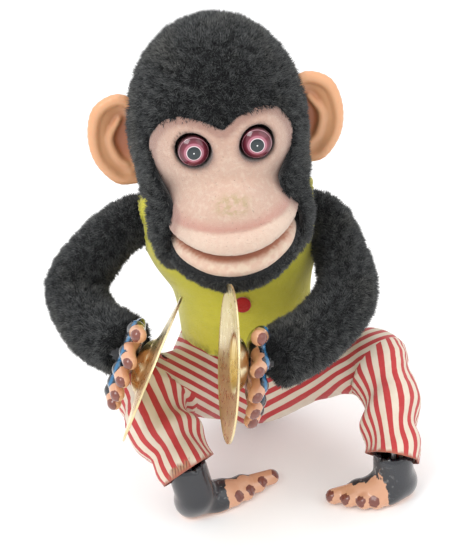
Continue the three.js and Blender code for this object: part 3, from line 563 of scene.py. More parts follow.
def eye_plastic():
    """Rings of colour out from the pupil; "rho" is 0 in the middle and 1 at the rim."""
    m = Paint("eye_plastic", roughness=0.2, Coat_Weight=0.3, Coat_Roughness=0.08)
    rho = m.value("rho")
    tone = (0.07, 0.006, 0.014)
    for low, high, inner in (
        (0.6, 0.95, (0.17, 0.02, 0.04)), (0.58, 0.66, (0.40, 0.14, 0.19)), (0.465, 0.49, (0.78, 0.66, 0.68)),
        (0.425, 0.445, (0.01, 0.02, 0.024)), (0.035, 0.055, (0.85, 0.85, 0.85)),
    ):
        tone = m.mix(m.fade(rho, low, high), inner, tone)
    rim = m.times(m.fade(rho, 0.90, 0.92), m.fade(rho, 0.95, 0.93))
    tone = m.mix(rim, tone, (0.42, 0.2, 0.24))
    m.colour(m.mix(m.fade(rho, 0.985, 1.0), tone, (0.02, 0.004, 0.006)))
    m.patchy(3, 0.08, 0.18)
    return m.material


BACKING, FUR, KNIT, MOUTH_CLOTH = plush_backing(), plush_pile(), face_knit(), mouth_knit()
EAR_VINYL = vinyl("ear_vinyl", (0.72, 0.37, 0.19), (0.42, 0.13, 0.05))
PAINTED = painted_vinyl()
YELLOW_FELT = felt("yellow_felt", (0.72, 0.67, 0.07), (0.60, 0.56, 0.05))
RED_FELT = felt("red_felt", (0.60, 0.02, 0.018), (0.42, 0.015, 0.012))
BRASS, EYE, PLASTIC = brass(), eye_plastic(), dark_plastic()
STEEL = metal("steel", (0.55, 0.56, 0.57), 0.32)
TIN = metal("tinplate", (0.48, 0.49, 0.5), 0.42)
WHEEL_BRASS = metal("wheel_brass", (0.62, 0.45, 0.18), 0.3)

# ---- head

HEAD_YAW = math.radians(3)
FACE_X = -4.5  # the middle of the face, before the head's turn
CROWN_Z = 205
SKULL = ((FACE_X, -9, CROWN_Z), (48.5 - PILE, 49.5 - PILE, 59.5 - PILE))  # centre and radii
CHEEKS = ((FACE_X, -34, 172), (42.5, 28, 37))
# The face's outline: how far from its middle, and how high, from the brow's notch down to the chin.
FACE_TOP, FACE_BOTTOM = (0, 216.5), (0, 141.5)
FACE_RIGHT = [(8, 221), (19, 223.5), (28, 220.5), (34, 211), (33.5, 201), (29, 192), (26, 186),
              (29, 179.5), (34, 172), (35.5, 163), (34, 156), (27, 148), (14, 143)]
FACE_LEFT = [(8, 220.5), (19, 223), (28, 220), (34.5, 211), (35.5, 201), (34, 192), (30.5, 184),
             (28, 177), (31, 170), (33.5, 162), (32.5, 155), (26, 148), (14, 143)]


def turned_head(points, angle=HEAD_YAW):
    """From the head's own axes to the toy's."""
    c, s = math.cos(angle), math.sin(angle)
    x, y, z = np.asarray(points, float).T
    return np.stack([c * x - s * y, s * x + c * y, z], axis=1)


def local_head(point):
    """From the toy's axes to the head's own."""
    return turned_head([point], -HEAD_YAW)[0]


FACE_HALVES = ((1, (FACE_TOP, *FACE_RIGHT, FACE_BOTTOM)), (-1, FACE_LEFT[::-1]))
FACE_LINE = spline([(FACE_X + s * x, z) for s, half in FACE_HALVES for x, z in half], 5, closed=True)


def face_edge(p):
    """How far p is outside the face's outline, seen from the front."""
    return inside_outline(p[:, [0, 2]], FACE_LINE)


def head_field(p):
    """The skull, the cheeks and a jowl beside each corner of the mouth."""
    field = join(ball(p, *SKULL), ball(p, *CHEEKS), 14)
    for s in SIDES.values():
        field = join(field, ball(p, (FACE_X + s * 31.5, -41, 160), (8.5, 12, 17)), 6)
    return field


def plush_field(p):
    """The head with the face's opening, and the room for the neck under its back."""
    opening = np.maximum(face_edge(p) + 0.5, p[:, 1] + 22)
    neck_room = np.maximum(p[:, 2] - 178, -38 - p[:, 1])
    return cut(cut(head_field(p), opening, 2), neck_room, 6)


def make_head():
    points, faces = skin(plush_field, (-56, -68, 136), (47, 42, 266), 2.6)
    placed, outward = turned_head(points), turned_head(slope_of(plush_field, points))
    backing = piece("head_backing", placed, faces, "head", "black_plush", BACKING, "head_plush")
    shown = (head_field(points) > -1.2) & ((face_edge(points) > -0.5) | (points[:, 1] > -15))
    kept = faces[shown[faces].all(axis=1)]
    high = points[kept].mean(axis=1)[:, 2] > CROWN_Z
    for part, seed, chosen in (("crown", 11, high), ("cheek", 12, ~high)):
        pile(f"head_pile_{part}", "head", placed, kept[chosen], outward, HEAD_TUFTS, seed)


# ---- face, jaw and eyes


def eye_centre(side):
    """The middle of an eye's front, in the head's own axes."""
    low, high = toy_box(f"eye_{side}")
    middle = local_head((low + high) / 2)
    front = local_head(((low[0] + high[0]) / 2, low[1], middle[2]))
    return np.array([middle[0], front[1], middle[2]])


EYES = {side: eye_centre(side) for side in SIDES}
EYE_R, SOCKET_R, EYE_SIDES = 7.8, 9, 64
LIP = [(-30, -48, 167.5), (-26, -60, 166), (-14, -70, 164), (0, -73, 163.3), (14, -70, 164),
       (26, -60, 166.5), (31.5, -48, 169.5)]
LIP_RADII = [4.6, 5.6, 6.2, 6.4, 6.2, 5.6, 4.6]
JAW_LIP = [(-28.5, -47, 159.5), (-24, -57.5, 155.5), (-13, -66, 151.5), (0, -69, 150.3), (13, -66, 151.5),
           (24.5, -57.5, 155.5), (29.5, -47, 160)]
JAW_LIP_RADII = [3.6, 4.1, 4.5, 4.7, 4.5, 4.1, 3.6]


def face_curve(points, steps=4):
    """A smooth line through points measured sideways from the middle of the face."""
    return spline([(FACE_X + x, y, z) for x, y, z in points], steps)


def off_eye(p, side):
    """How far p is from the line straight out of an eye."""
    x, _, z = EYES[side]
    return np.hypot(p[:, 0] - x, p[:, 2] - z)


def lip_edge(p):
    """The height of the upper lip's lower edge."""
    return 161 + 0.0085 * (p[:, 0] - FACE_X) ** 2


def face_field(p):
    plate = ball(p, (FACE_X, -12, 204), (43, 45.5, 50))
    brow = ball(p, (FACE_X, -34, 206), (33, 24.5, 19))
    muzzle = ball(p, (FACE_X, -44, 171), (33.5, 28, 21))
    nose = ball(p, (FACE_X, -60, 181), (13, 10, 9))
    field = join(join(plate, brow, 8), join(muzzle, nose, 9), 7)
    field = join(field, chain(p, face_curve(LIP), LIP_RADII, 1.5), 1.6)
    for side in SIDES:
        field = cut(field, np.maximum(off_eye(p, side) - SOCKET_R, p[:, 1] + 40), 1.6)
    field = cut(field, p[:, 2] - lip_edge(p), 1.5)
    shell = np.maximum(field, face_edge(p) - 1.5)
    behind = p[:, 1] + 26 + 10 * step(182, 170, p[:, 2])
    return np.maximum(shell, behind)


def make_face():
    points, faces = skin(face_field, (-45, -84, 146), (36, -22, 234), 1.5)
    told = ("head", "face_knit", KNIT, "face_mask", "skull_shell")
    mask = piece("face_knit_mask", turned_head(points), faces, *told)
    from_lip = np.linalg.norm(points[:, None] - face_curve(LIP)[None], axis=2).min(axis=1)
    pink = step(6.5, 8.5, from_lip) * step(15, 9, from_lip)
    from_nose = np.hypot((points[:, 0] - FACE_X) * 0.9, (points[:, 2] - 184) * 1.6)
    nose = 0.8 * step(11, 4, from_nose) * (points[:, 1] < -50)
    rim = face_edge(points)
    # hollow is painted shade: near-black on the walls of the eye sockets.
    hollow, edge = np.zeros(len(points)), step(-3.6, 0.3, rim) + 0.3 * step(-13, -2, rim)
    for side in SIDES:
        flat = off_eye(points, side)
        hollow = np.maximum(hollow, step(SOCKET_R + 0.9, SOCKET_R - 0.6, flat))
        edge = np.maximum(edge, 0.75 * step(SOCKET_R + 4, SOCKET_R + 0.5, flat))
    # edge is painted shade: darker along the face's outline, where the plush stands over it, and round each
    # eye socket.
    edge = np.clip(edge, 0, 1) * 0.8
    note(mask, hollow=hollow, ridge=step(8.5, 5.5, from_lip), pink=pink, nose=nose, edge=edge)


def jaw_field(p):
    lip = chain(p, face_curve(JAW_LIP), JAW_LIP_RADII, 2)
    bed = ball(p, (FACE_X, -44, 153.5), (28.5, 24, 8.5))
    hollow = ball(p, (FACE_X, -48, 159.5), (25, 17.5, 8))
    return cut(join(lip, bed, 3), hollow, 2)


def make_jaw():
    points, faces = skin(jaw_field, (-42, -80, 136), (34, -14, 166), 1.5)
    jaw = piece("lower_lip", turned_head(points), faces, "jaw", "face_knit", MOUTH_CLOTH, "jaw")
    lip_line = face_curve(JAW_LIP, 6)
    nearest = lip_line[np.linalg.norm(points[:, None] - lip_line[None], axis=2).argmin(axis=1)]
    over = (points - nearest) / 5
    note(jaw, inner=step(0.15, 0.75, over[:, 2] + 0.55 * over[:, 1]))


def chin_field(p):
    line = [(x * 1.05, y + 1.5, z - 7.4 + 0.004 * x * x) for x, y, z in JAW_LIP]
    ends = [(s * 37, -38, 158) for s in SIDES.values()]
    strap = chain(p, face_curve([ends[0], *line, ends[1]]), [5, 5, 5, 5.2, 5.4, 5.2, 5, 5, 5], 2)
    return join(strap, ball(p, (FACE_X, -46, 146), (28, 19, 9)), 3)


def make_chin():
    points, faces = skin(chin_field, (-50, -82, 128), (42, -20, 170), 2)
    placed, outward = turned_head(points), turned_head(slope_of(chin_field, points))
    chin = piece("chin_backing", placed, faces, "jaw", "black_plush", BACKING, "chin_plush")
    below = jaw_field(points) > 1.2
    kept = faces[below[faces].all(axis=1)]
    pile("chin_pile", "jaw", placed, kept, outward, CHIN_TUFTS, 21, length=2.2, width=0.28)


def lathe(profile, sides):
    """Rings of points round the Z axis from (radius, height) pairs, and the faces between them."""
    turn = np.arange(sides) * 2 * math.pi / sides
    points = np.array([[r * math.cos(a), r * math.sin(a), h] for r, h in profile for a in turn])
    return points, ring_faces(len(profile), sides)


def make_eyes():
    spread = np.linspace(0.004, 0.97, 34)
    dome = [(EYE_R * t, -3.2 * t**2.6) for t in spread]
    skirt = [(EYE_R, -3.7), (EYE_R, -8), (EYE_R - 3, -10), (EYE_R - 3, -18)]
    rho = np.repeat([*spread, *np.ones(len(skirt))], EYE_SIDES)
    points, faces = lathe(dome + skirt, EYE_SIDES)
    for side, (x, y, z) in EYES.items():
        placed = turned_head(np.stack([points[:, 0] + x, y - points[:, 2], points[:, 1] + z], axis=1))
        eye = piece(f"eye_{side}_ball", placed, faces, "eyes", "eye_plastic", EYE, f"eye_{side}")
        note(eye, rho=rho)


# ---- ears

EAR_MIDDLE = (54.5, -8, 202.5)
EAR_RADII = (13.5, 5.6, 24)
EAR_RIM = [(-12, -3, 17), (-3, -4, 23), (8, -4, 18), (12.5, -4, 5), (11, -4, -9), (3, -4, -20), (-6, -3, -22)]
EAR_FOLD = [(-2, -1.5, 12), (4.5, -1.5, 2), (2, -1.5, -9), (-3, -2, -14)]


def ear_field(p):
    """A cupped right ear: a thick rolled rim, a fold inside it and a deep middle."""
    x, y, z = EAR_MIDDLE
    blade = ball(p, EAR_MIDDLE, EAR_RADII)
    root = ball(p, (x - 13, y, z), (9, 6, 16))
    scoop = ball(p, (x - 2.5, y - 6.5, z + 1), (10.5, 6.8, 19.5))
    field = cut(join(blade, root, 4), scoop, 2.2)
    rim = spline(np.array(EAR_RIM) + EAR_MIDDLE, 4)
    field = join(field, chain(p, rim, [2.6, 3, 3.2, 3, 2.8, 2.8, 2.6], 0.5), 2)
    fold = spline(np.array(EAR_FOLD) + EAR_MIDDLE, 4)
    field = join(field, chain(p, fold, [1.5, 2.2, 2.2, 1.6], 0.5), 1.6)
    tragus = ball(p, (x - 10, y - 4, z - 3), (4.5, 3, 6))
    return join(field, tragus, 2)


def make_ears():
    x, y, z = EAR_MIDDLE
    points, faces = skin(ear_field, (x - 24, y - 14, z - 30), (x + 20, y + 9, z + 30), 1.1)
    depth = points[:, 1] - y
    normal = slope_of(ear_field, points)
    # fold marks the deep back of the ear's cup, which vinyl() darkens as painted shade.
    fold = step(-3.6, 0.5, depth) * (normal[:, 1] < 0.15) * step(16.5, 9, abs(points[:, 0] - x))
    for side, s in SIDES.items():
        placed = turned_head(points * [s, 1, 1] + [FACE_X - 1 - 2.5 * s, 0, 0])
        facing = faces if s > 0 else faces[:, ::-1]
        ear = piece(f"ear_{side}_cup", placed, facing, "head", "peach_vinyl", EAR_VINYL, f"ear_{side}")
        note(ear, fold=fold)


# ---- arms

ARMS = {
    "left": {"path": [(-40, 2, 151), (-60, -1, 149), (-79, -1, 134), (-94, -5, 115), (-84, -32, 104),
                      (-66, -55, 103)],
             "radii": [12.5, 14, 15.5, 17, 17, 17]},
    "right": {"path": [(37, 3, 146), (50, -3, 141), (55, -20, 129), (55, -43, 113), (36, -62, 102),
                       (14, -77, 99)],
              "radii": [11, 12, 14, 16.5, 16.5, 16.5]},
}
CYMBALS = {
    "left": {"centre": (-50, -86, 106.5), "normal": (0.881, -0.181, -0.437)},
    "right": {"centre": (-10.4, -98.8, 112.3), "normal": (-0.983, -0.066, 0.17)},
}
HAND_ROOM = {"back": -18.5, "r": 33}  # the disc that the arm leaves free for the hand, in the hand's frame


def hand_frame(side):
    """Columns x along the fingers' plane, y up, z towards the other cymbal, and the cymbal's centre."""
    z = unit(CYMBALS[side]["normal"])
    y = unit(np.array([0, 0, 1.0]) - z[2] * z)
    return np.stack([np.cross(y, z), y, z], axis=1), np.array(CYMBALS[side]["centre"], float)


def in_hand(side, points):
    axes, centre = hand_frame(side)
    return np.asarray(points, float) @ axes.T + centre


def from_hand(side, p):
    axes, centre = hand_frame(side)
    return (p - centre) @ axes


def arm_field(p, side):
    path = np.array(ARMS[side]["path"], float)
    radii = [r - PILE + 0.4 for r in ARMS[side]["radii"]]
    end, way = path[-1], unit(path[-1] - path[-2])
    tube = np.maximum(chain(p, spline(path, 5), radii, 3), (p - end) @ way - 3)
    x, y, z = from_hand(side, p).T
    return cut(tube, np.maximum(np.hypot(x, y) - HAND_ROOM["r"], HAND_ROOM["back"] - z), 2)


def make_arms():
    for side, s in SIDES.items():
        path = np.array(ARMS[side]["path"], float)
        field = partial(arm_field, side=side)
        points, faces = skin(field, path.min(axis=0) - 24, path.max(axis=0) + 24, 2.4)
        body = f"{side}_arm"
        arm = piece(f"arm_backing_{side}", points, faces, body, "black_plush", BACKING, f"arm_plush_{side}")
        pile(f"arm_pile_{side}", body, points, faces, slope_of(field, points), ARM_TUFTS, 31 + s)


# ---- cymbals and hands

CYMBAL_R, CYMBAL_THICK, CYMBAL_SIDES = 39, 0.8, 96
CYMBAL_LINE = [(2.1, -9), (6, -8.7), (10.3, -7.3), (13.2, -5.2), (15, -3.3), (17.5, -2.5), (22, -1.95),
               (30, -1.0), (CYMBAL_R - 0.4, -0.05), (CYMBAL_R, 0.3)]


def make_cymbals():
    back = spline(CYMBAL_LINE, 5)
    front = back[::-1] + [0, CYMBAL_THICK]
    points, faces = lathe([*back, (CYMBAL_R + 0.25, 0.7), *front, back[0]], CYMBAL_SIDES)
    for side in SIDES:
        told = (f"{side}_arm", "brass", BRASS, f"cymbal_{side}")
        cymbal = piece(f"cymbal_{side}_dish", in_hand(side, points), faces, *told)
        note(cymbal, radius=np.hypot(points[:, 0], points[:, 1]))


FINGERS = {
    "left": {"knuckles": (-15, -7.5, 1, 10), "tips": (-17, -9, 0.7, 11), "reach": (16, 19, 20, 18),
             "thumb": 21},
    "right": {"knuckles": (-20, -12.5, -4, 6), "tips": (-24, -16.5, -6, 7.5), "reach": (15, 18, 20, 19),
              "thumb": 19.5},
}


def fingers(side):
    """Each finger from knuckle to tip in the hand's frame, then the thumb, with their radii."""
    f, row = SIDES[side], FINGERS[side]
    digits = []
    for knuckle, tip, reach in zip(row["knuckles"], row["tips"], row["reach"]):
        bend = (f * (reach - 8), 0.4 * knuckle + 0.6 * tip, -14.2)
        digits.append(((-f * 3, knuckle, -14), bend, (f * reach, tip, -10.8), 3.9))
    end = row["thumb"]
    return [*digits, ((-f * 8, end - 13, -14), (0, end - 3, -14.6), (f * 8, end, -12), 4.3)]


def hand_field(p, side):
    q = from_hand(side, p)
    middle = sum(FINGERS[side]["knuckles"]) / 4
    body = ball(q, (-SIDES[side] * 9, middle + 1, -14), (17, 19, 5.2))
    for a, b, c, r in fingers(side):
        digit = join(bar(q, a, b, r * 1.05, r), bar(q, b, c, r, r * 0.93), 1.5)
        body = join(body, digit, 2)
    return body


def make_hands():
    for side, f in SIDES.items():
        field = partial(hand_field, side=side)
        corners = in_hand(side, [(x, y, z) for x in (-32, 30) for y in (-36, 30) for z in (-24, -4)])
        points, faces = skin(field, corners.min(axis=0), corners.max(axis=0), 1.1)
        told = (f"{side}_arm", "peach_vinyl", PAINTED, f"hand_{side}")
        hand = piece(f"hand_{side}_vinyl", points, faces, *told)
        q = from_hand(side, points)
        nail, flesh = np.zeros((2, len(points)))
        for _, b, c, r in fingers(side):
            way = unit(np.array(c, float) - b)
            out = unit([way[2] * f, 0, -way[0] * f])
            spot = np.array(c, float) + way * r * 0.55 + out * r * 0.6
            nail = np.maximum(nail, step(3.7, 2.7, lengths((q - spot) * [1, 0.92, 1])))
            flesh = np.maximum(flesh, step(-5.5, -3.5, (q - c) @ way) * (lengths(q - c) < r * 2.2))
        inside = step(-14.5, -12.5, q[:, 2])
        black = 1 - np.maximum(flesh, inside * step(-2, 4, f * q[:, 0]))
        blue = step(1.1, 0.5, abs(q[:, 2] + 16.3)) * step(-14, -8, q[:, 1]) * (black > 0.9)
        note(hand, nail=nail, black=black, worn=np.zeros(len(points)), blue=blue)


# ---- vest

# The body's rings: how high, how far it reaches to each side, and how far to the front and back.
TORSO = [(74, 38.5, 31.8), (80, 38.5, 32), (95, 38.5, 33.5), (110, 40.5, 34), (126, 46.5, 34), (146, 50, 31),
         (158, 50, 27), (165, 46.5, 22), (170, 38, 17), (171.5, 25, 15)]
SHOULDER_SHIFT = -4  # the shoulders sit this far to the left of the hips
ARMHOLE_R = 15.5
VEST_THICK, VEST_ROWS, VEST_SIDES = 1.4, 64, 180
SQUARE = 2.35  # the power of the rings' superellipse: a little squarer than an ellipse's 2


def make_vest():
    line = spline(TORSO, 8)
    length = np.concatenate([[0], np.cumsum(lengths(np.diff(line, axis=0)))])
    even = np.linspace(0, length[-1], VEST_ROWS)
    rows = np.stack([np.interp(even, length, line[:, i]) for i in range(3)], axis=1)
    turn = np.arange(VEST_SIDES) * 2 * math.pi / VEST_SIDES
    c, s = np.cos(turn), np.sin(turn)
    reach = (np.abs(c) ** SQUARE + np.abs(s) ** SQUARE) ** (-1 / SQUARE)
    points = []
    for z, a, b in rows:
        hem = step(90, 76, z) * (1.4 * np.sin(3 * turn + 1) + 0.7 * np.sin(8 * turn))
        dip = step(84, 76, z) * (1.3 * np.sin(2 * turn + 0.6) - 1.2 * (s < 0) * c)
        x = (a + hem * 0.4) * reach * c + SHOULDER_SHIFT * step(108, 142, z)
        points.append(np.stack([x, (b + hem * 0.5) * reach * s, z + dip * 0.8], axis=1))
    points = np.concatenate(points)
    points += 0.35 * waves(points, 5, 18)[:, None] * points / lengths(points)[:, None]
    faces = ring_faces(VEST_ROWS, VEST_SIDES)
    hole = np.hypot(points[:, 1], points[:, 2] - SHOULDER_Z)
    beside = np.abs(points[:, 0]) > 20
    inside = (hole < ARMHOLE_R) & beside
    kept = faces[~inside[faces].all(axis=1)]
    rim = inside & np.isin(np.arange(len(points)), kept)
    scale = (ARMHOLE_R / np.maximum(hole[rim], 1e-6))[:, None]
    points[rim, 1:] = (points[rim, 1:] - [0, SHOULDER_Z]) * scale + [0, SHOULDER_Z]
    used, new = np.unique(kept, return_inverse=True)
    vest = mesh_object("vest_felt", to_frame(points[used]), new.reshape(kept.shape))
    thicken(vest, VEST_THICK)
    worn_edge = step(ARMHOLE_R + 3, ARMHOLE_R, hole[used]) * beside[used]
    note(vest, soil=np.maximum(step(84, 77, points[used, 2]), worn_edge))
    finished(vest, "body", "yellow_felt", YELLOW_FELT, "vest")


def make_button():
    low, high = toy_box("vest_button")
    middle = (low + high) / 2
    r = (high[0] - low[0]) / 2
    profile = [(0.02, 1.9), (r * 0.5, 1.85), (r * 0.85, 1.6), (r, 1.1), (r * 1.01, 0.4), (r * 0.98, -0.6)]
    points, faces = lathe(spline(profile, 4), 40)
    x, z, out = points.T
    placed = np.stack([x + middle[0], high[1] - out - 0.4, z + middle[2]], axis=1)
    button = piece("vest_dot", placed, faces, "body", "red_felt", RED_FELT, "vest_button")
    note(button, soil=np.zeros(len(points)))


# ---- trousers

LEGS = {
    "left": {"path": [(-16, -8, 47), (-37, -28, 58), (-57, -44, 65), (-50, -63, 50), (-39, -76, 33)],
             "radii": [19, 18.5, 17, 15.5, 14], "cuff_tilt": (0, 0, 0), "weave": (0.55, 0.50, 0.67)},
    "right": {"path": [(17, -8, 47), (48, -22, 57), (71, -38, 63), (74, -58, 46), (71.5, -76, 27)],
              "radii": [19, 17.5, 15.5, 13.5, 13.5], "cuff_tilt": (-0.2, 0, 0), "weave": (-0.34, 0.67, 0.67)},
}
# "cuff_tilt" leans the cuff's cut; the thigh's stripes lie across "weave". SEAT's rings are as TORSO's.
SEAT = [(25, 34, 28), (32, 42, 34.5), (48, 47, 38), (62, 44, 37), (73, 40, 34), (84, 35, 29)]
SEAT_BOTTOM, WAIST_Z = 25.5, 82
TROUSER_THICK, WAIST_REACH, CUFF_REACH = 0.7, 60, 30  # each end is cut open only within its reach


def leg_line(side):
    """The leg's middle line with, at each point, its direction and the way up across it."""
    line = spline(LEGS[side]["path"], 8)
    along = units(np.gradient(line, axis=0))
    carried = np.zeros_like(line)
    up = np.array([0, 0, 1.0])
    for i, way in enumerate(along):
        up = carried[i] = unit(up - (up @ way) * way)
    return line, along, carried


def cuff(side):
    """The middle of a leg's cuff and the direction that the cuff faces."""
    path = np.array(LEGS[side]["path"], float)
    return path[-1], unit(path[-1] - path[-2]) + LEGS[side]["cuff_tilt"]


def leg_places(side, p):
    """How far along a leg p is (0 to 1), and how far it stands above and in front of the middle line."""
    line, along, carried = leg_line(side)
    best = np.full(len(p), 1e18)
    place = np.zeros(len(p))
    for i in range(len(line) - 1):
        stretch = line[i + 1] - line[i]
        t = np.clip((p - line[i]) @ stretch / (stretch @ stretch), 0, 1)
        gap = ((p - line[i] - t[:, None] * stretch) ** 2).sum(axis=1)
        nearer = gap < best
        best = np.where(nearer, gap, best)
        place = np.where(nearer, i + t, place)
    spots = np.arange(len(line))
    at = lambda rows: np.stack([np.interp(place, spots, rows[:, k]) for k in range(3)], axis=1)
    middle, tangent, top = at(line), at(along), at(carried)
    front = SIDES[side] * np.cross(top, tangent)
    offset = p - middle
    return place / (len(line) - 1), (offset * top).sum(axis=1), (offset * front).sum(axis=1)


LEG_R = 17  # the shins' stripes are laid out as if round a leg of this radius
STRIPE_PITCH = 2 * math.pi * LEG_R / 18


def striped_cotton():
    """Red and cream stripes: straight across each thigh, down each shin, meeting in a fold at the knee."""
    m = Paint("striped_cotton", roughness=0.85, Sheen_Weight=0.2)

    def stripes(across):
        wobble = m.times(m.math("SUBTRACT", m.noise(6), 0.5), 0.5)
        wave = m.math("PINGPONG", m.plus(across, wobble), STRIPE_PITCH / 2)
        return m.fade(wave, STRIPE_PITCH * 0.215, STRIPE_PITCH * 0.265)

    def choose(second, a, b):
        return m.plus(a, m.times(second, m.math("SUBTRACT", b, a)))

    legs = []
    for side, s in SIDES.items():
        path = np.array(LEGS[side]["path"], float)
        knee = path[2]
        thigh, shin = unit(knee - path[0]), unit(path[-1] - knee)
        ahead = np.cross(shin, (s, 0, 0))
        turn = m.math("ARCTAN2", m.along(np.cross(shin, ahead), knee), m.along(ahead, knee))
        down = stripes(m.times(turn, LEG_R))
        over = stripes(m.times(m.along(LEGS[side]["weave"], knee), 1.2))
        lower = m.fade(m.along(thigh + shin, knee), -0.15, 0.15)
        legs.append(choose(lower, over, down))
    share = choose(m.fade(m.along((1, 0, 0), (0, 0, 0)), -0.15, 0.15), *legs)
    red = m.mix(m.noise(3), (0.42, 0.025, 0.03), (0.54, 0.05, 0.05))
    cream = m.mix(m.noise(7), (0.66, 0.54, 0.42), (0.74, 0.66, 0.55))
    stitch = m.fade(m.math("PINGPONG", m.along((1, 0, 0), (0, 0, 0)), 0.8), 0.45, 0.6)
    tan = m.mix(stitch, (0.40, 0.21, 0.12), (0.16, 0.06, 0.04))
    lined = m.mix(m.value("lining"), m.mix(share, red, cream), tan)
    m.colour(m.mix(m.value("hem"), lined, (0.36, 0.10, 0.06)))
    return m.bump(m.plus(m.noise(0.5, 2), m.noise(0.6, 2, (1, 1, 3))), 0.12)


def leg_field(side, p):
    leg = LEGS[side]
    line = spline(leg["path"], 5)
    past_cuff = line[-1] + unit(line[-1] - line[-2]) * 8
    field = chain(p, np.vstack([line, past_cuff]), leg["radii"], 4)
    share, up, out = leg_places(side, p)
    angle = np.arctan2(out, up)
    folds = np.sin(share * 26 + 2.2 * np.sin(angle + 1) + 0.6 * waves(p, 41, 30))
    strength = 1.3 * step(0.3, 0.5, share) * (1.1 - 0.5 * step(0.75, 0.9, share)) + 0.7
    long_folds = np.sin(angle * 5 + 4 * share + SIDES[side])
    ridge = 2.4 * step(0.42, 0.6, share) * np.maximum(np.cos(angle), 0) ** 8
    return field - strength * folds - 0.8 * step(0.55, 0.9, share) * long_folds - ridge


def seat_field(p):
    rows = np.array(SEAT, float)
    x, y, z = p.T
    a, b = (np.interp(z, rows[:, 0], rows[:, i]) for i in (1, 2))
    field = (np.hypot(x / a, y / b) - 1) * np.minimum(a, b)
    gathers = 0.5 * np.sin(np.arctan2(y, x) * 17 + 0.05 * z) * step(60, 76, z)
    return np.maximum(field - gathers - 1.1 * waves(p, 44, 24), SEAT_BOTTOM - z)


def trouser_field(p):
    legs = np.minimum(leg_field("left", p), leg_field("right", p))
    return join(seat_field(p), legs, 7)


def cut_open(obj, point, normal, reach):
    """Opens a skin: takes off what lies past a plane, within reach of the point."""
    mesh = bmesh.new()
    mesh.from_mesh(obj.data)
    point = Vector(to_frame([point])[0])
    near = [v for v in mesh.verts if (v.co - point).length < reach * MM]
    inside = set(near)
    geometry = near + [x for kind in (mesh.edges, mesh.faces) for x in kind if inside.issuperset(x.verts)]
    bmesh.ops.bisect_plane(mesh, geom=geometry, plane_co=point, plane_no=Vector(normal), clear_outer=True)
    mesh.to_mesh(obj.data)
    mesh.free()


def make_trousers():
    points, faces = skin(trouser_field, (-82, -106, 8), (104, 46, 92), 2.2)
    trousers = mesh_object("striped_trousers", to_frame(points), faces)
    cut_open(trousers, (0, 0, WAIST_Z), (0, 0, 1), WAIST_REACH)
    for side in SIDES:
        cut_open(trousers, *cuff(side), CUFF_REACH)
    p = (np.array([v.co for v in trousers.data.vertices]) - ORIGIN) / MM
    hem, lining = np.zeros((2, len(p)))
    for side, s in SIDES.items():
        middle, way = cuff(side)
        past = (p - middle) @ unit(way)
        near = (p[:, 0] * s > 0) & (lengths(p - middle) < 25)
        hem = np.maximum(hem, step(-1.6, -0.8, past) * near)
        if side == "left":
            shown = step(-50, -47, p[:, 0]) * step(-36, -39, p[:, 0]) * (p[:, 1] < middle[1])
            lining = step(-5.2, -4.6, past) * near * shown
    note(trousers, hem=hem, lining=lining)
    thicken(trousers, TROUSER_THICK)
    nodes = ("trouser_seat", "trouser_leg_left", "trouser_leg_right")
    finished(trousers, "body", "striped_cotton", striped_cotton(), *nodes)


# ---- feet

FEET = {
    "left": {"ankle": (-38, -74, 15), "top": (-40.5, -72, 30), "heel": (-41, -71),
             "toes": [(5, -53), (-3, -59), (-10, -65), (-17, -69)]},
    "right": {"ankle": (72, -75, 12), "top": (72.5, -73, 24), "heel": (76, -72),
              "toes": [(38, -76), (46, -80), (54, -83), (61, -84)]},
}


def foot_parts(side):
    """The toes' ends, the heel's middle and the middle of the toes, seen from above."""
    toes, heel = (np.array(FEET[side][name], float) for name in ("toes", "heel"))
    return toes, heel, toes.mean(axis=0)


def foot_field(p, side):
    toes, heel, front = foot_parts(side)
    top = np.array(FEET[side]["top"])
    collar = bar(p, FEET[side]["ankle"], top, 11)
    sole = bar(p, (*heel, 8), (*(0.55 * heel + 0.45 * front), 7), 9.5, 8.5)
    wide = bar(p, (*(0.62 * toes[0] + 0.38 * heel), 6), (*(0.62 * toes[-1] + 0.38 * heel), 6), 6.4)
    body = join(join(collar, sole, 5), wide, 6)
    for x, y in toes:
        root = np.array([x, y]) + (heel - [x, y]) * 0.32
        body = join(body, bar(p, (*root, 6), (x, y, 4.6), 4.6, 4.4), 1.3)
    mouth = bar(p, top + [0, 0, -4], top + [0, 0, 14], 8.2)
    return np.maximum(cut(body, mouth, 1), 0.2 - p[:, 2])


def make_feet():
    for side in SIDES:
        toes, heel, front = foot_parts(side)
        corners = np.array([(*toe, 0) for toe in toes] + [(*heel, 40)])
        low, high = corners.min(axis=0) - [18, 18, 2], corners.max(axis=0) + [18, 18, 4]
        points, faces = skin(partial(foot_field, side=side), low, high, 1.4)
        told = (f"{side}_foot", "black_vinyl", PAINTED, f"foot_{side}")
        foot = piece(f"foot_{side}_vinyl", points, faces, *told)
        nail, flesh = np.zeros((2, len(points)))
        for x, y in toes:
            way = unit([x, y] - heel)
            flat = points[:, :2] - [x, y]
            flesh = np.maximum(flesh, step(-8.5, 0.5, flat @ way) * step(8, 6, lengths(flat)))
            spot = np.array([x, y - 1.4, 6.8]) + [*(way * 2.6), 0]
            nail = np.maximum(nail, step(3.4, 2.5, lengths((points - spot) * [1, 1, 0.8])))
        sole = step(2.6, 1.4, points[:, 2])
        worn = 0.8 * step(20, 6, lengths(points - [*(0.35 * heel + 0.65 * front), 14]))
        note(foot, nail=nail, black=1 - np.maximum(flesh, sole), worn=worn, blue=np.zeros(len(points)))


# ---- what stays as the CAD made it


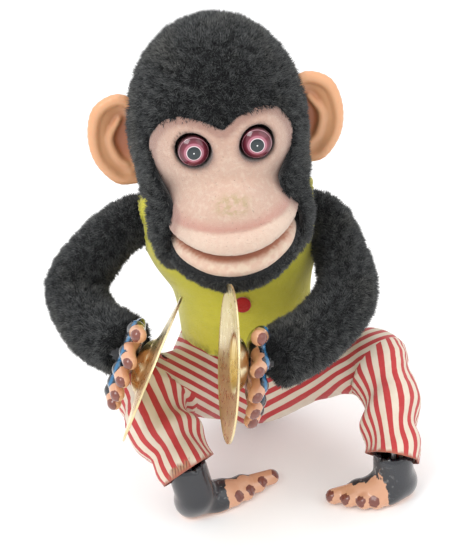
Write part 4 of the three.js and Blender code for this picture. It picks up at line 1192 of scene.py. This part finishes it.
def dress_frame():
    """Each carried-over CAD node gets its material by its slot; the cymbals' nuts and bolts are black."""
    finish_of = {"steel": STEEL, "tinplate": TIN, "brass": WHEEL_BRASS, "black_plastic": PLASTIC}
    slots = {row["node"]: row["material_slot"] for row in frame["record"]["subparts"]}
    for name, obj in frame["nodes"].items():
        if obj.hide_render:
            continue
        obj.data.materials.clear()
        painted = name.startswith(("cymbal_nut", "cymbal_bolt"))
        obj.data.materials.append(PLASTIC if painted else finish_of.get(slots.get(name), STEEL))


# ---- floor and light


# Each lamp's name, place, size and power.
LIGHTS = [("key", (-0.7, -0.8, 1.3), 0.7, 9), ("fill", (1.0, -0.7, 0.9), 1.0, 3),
          ("top", (0, 0.3, 1.5), 1.0, 3)]


def make_stage():
    # The floor paper glows faintly: painted light that lifts the shadows cast on it.
    m = Paint("floor_paper", roughness=0.9, Emission_Color=(1, 1, 1, 1), Emission_Strength=0.08)
    m.colour(m.mix(m.noise(60), (0.93, 0.93, 0.93), (0.95, 0.95, 0.95)))
    spots = (-6.0, 0.0, 6.0)
    points = [(x, y, ORIGIN[2] - 0.0004) for y in spots for x in spots]
    faces = [(i, i + 1, i + 4, i + 3) for i in (0, 1, 3, 4)]
    floor = mesh_object("floor", points, faces)
    floor.data.materials.append(m.material)
    world = bpy.data.worlds.new("studio")
    bpy.context.scene.world = world
    world.use_nodes = True
    background = world.node_tree.nodes["Background"].inputs
    background["Color"].default_value = (1, 1, 1, 1)
    background["Strength"].default_value = 1.0
    bpy.context.scene.view_settings.view_transform = "Standard"
    for name, place, size, power in LIGHTS:
        data = bpy.data.lights.new(name, "AREA")
        data.size, data.energy = size, power
        light = bpy.data.objects.new(name, data)
        bpy.context.scene.collection.objects.link(light)
        light.location = place
        light.rotation_euler = (Vector((0, 0, 0.12)) - Vector(place)).to_track_quat("-Z", "Y").to_euler()


for make in (make_head, make_face, make_jaw, make_chin, make_eyes, make_ears, make_arms, make_cymbals,
             make_hands, make_vest, make_button, make_trousers, make_feet, dress_frame, make_stage):
    make()
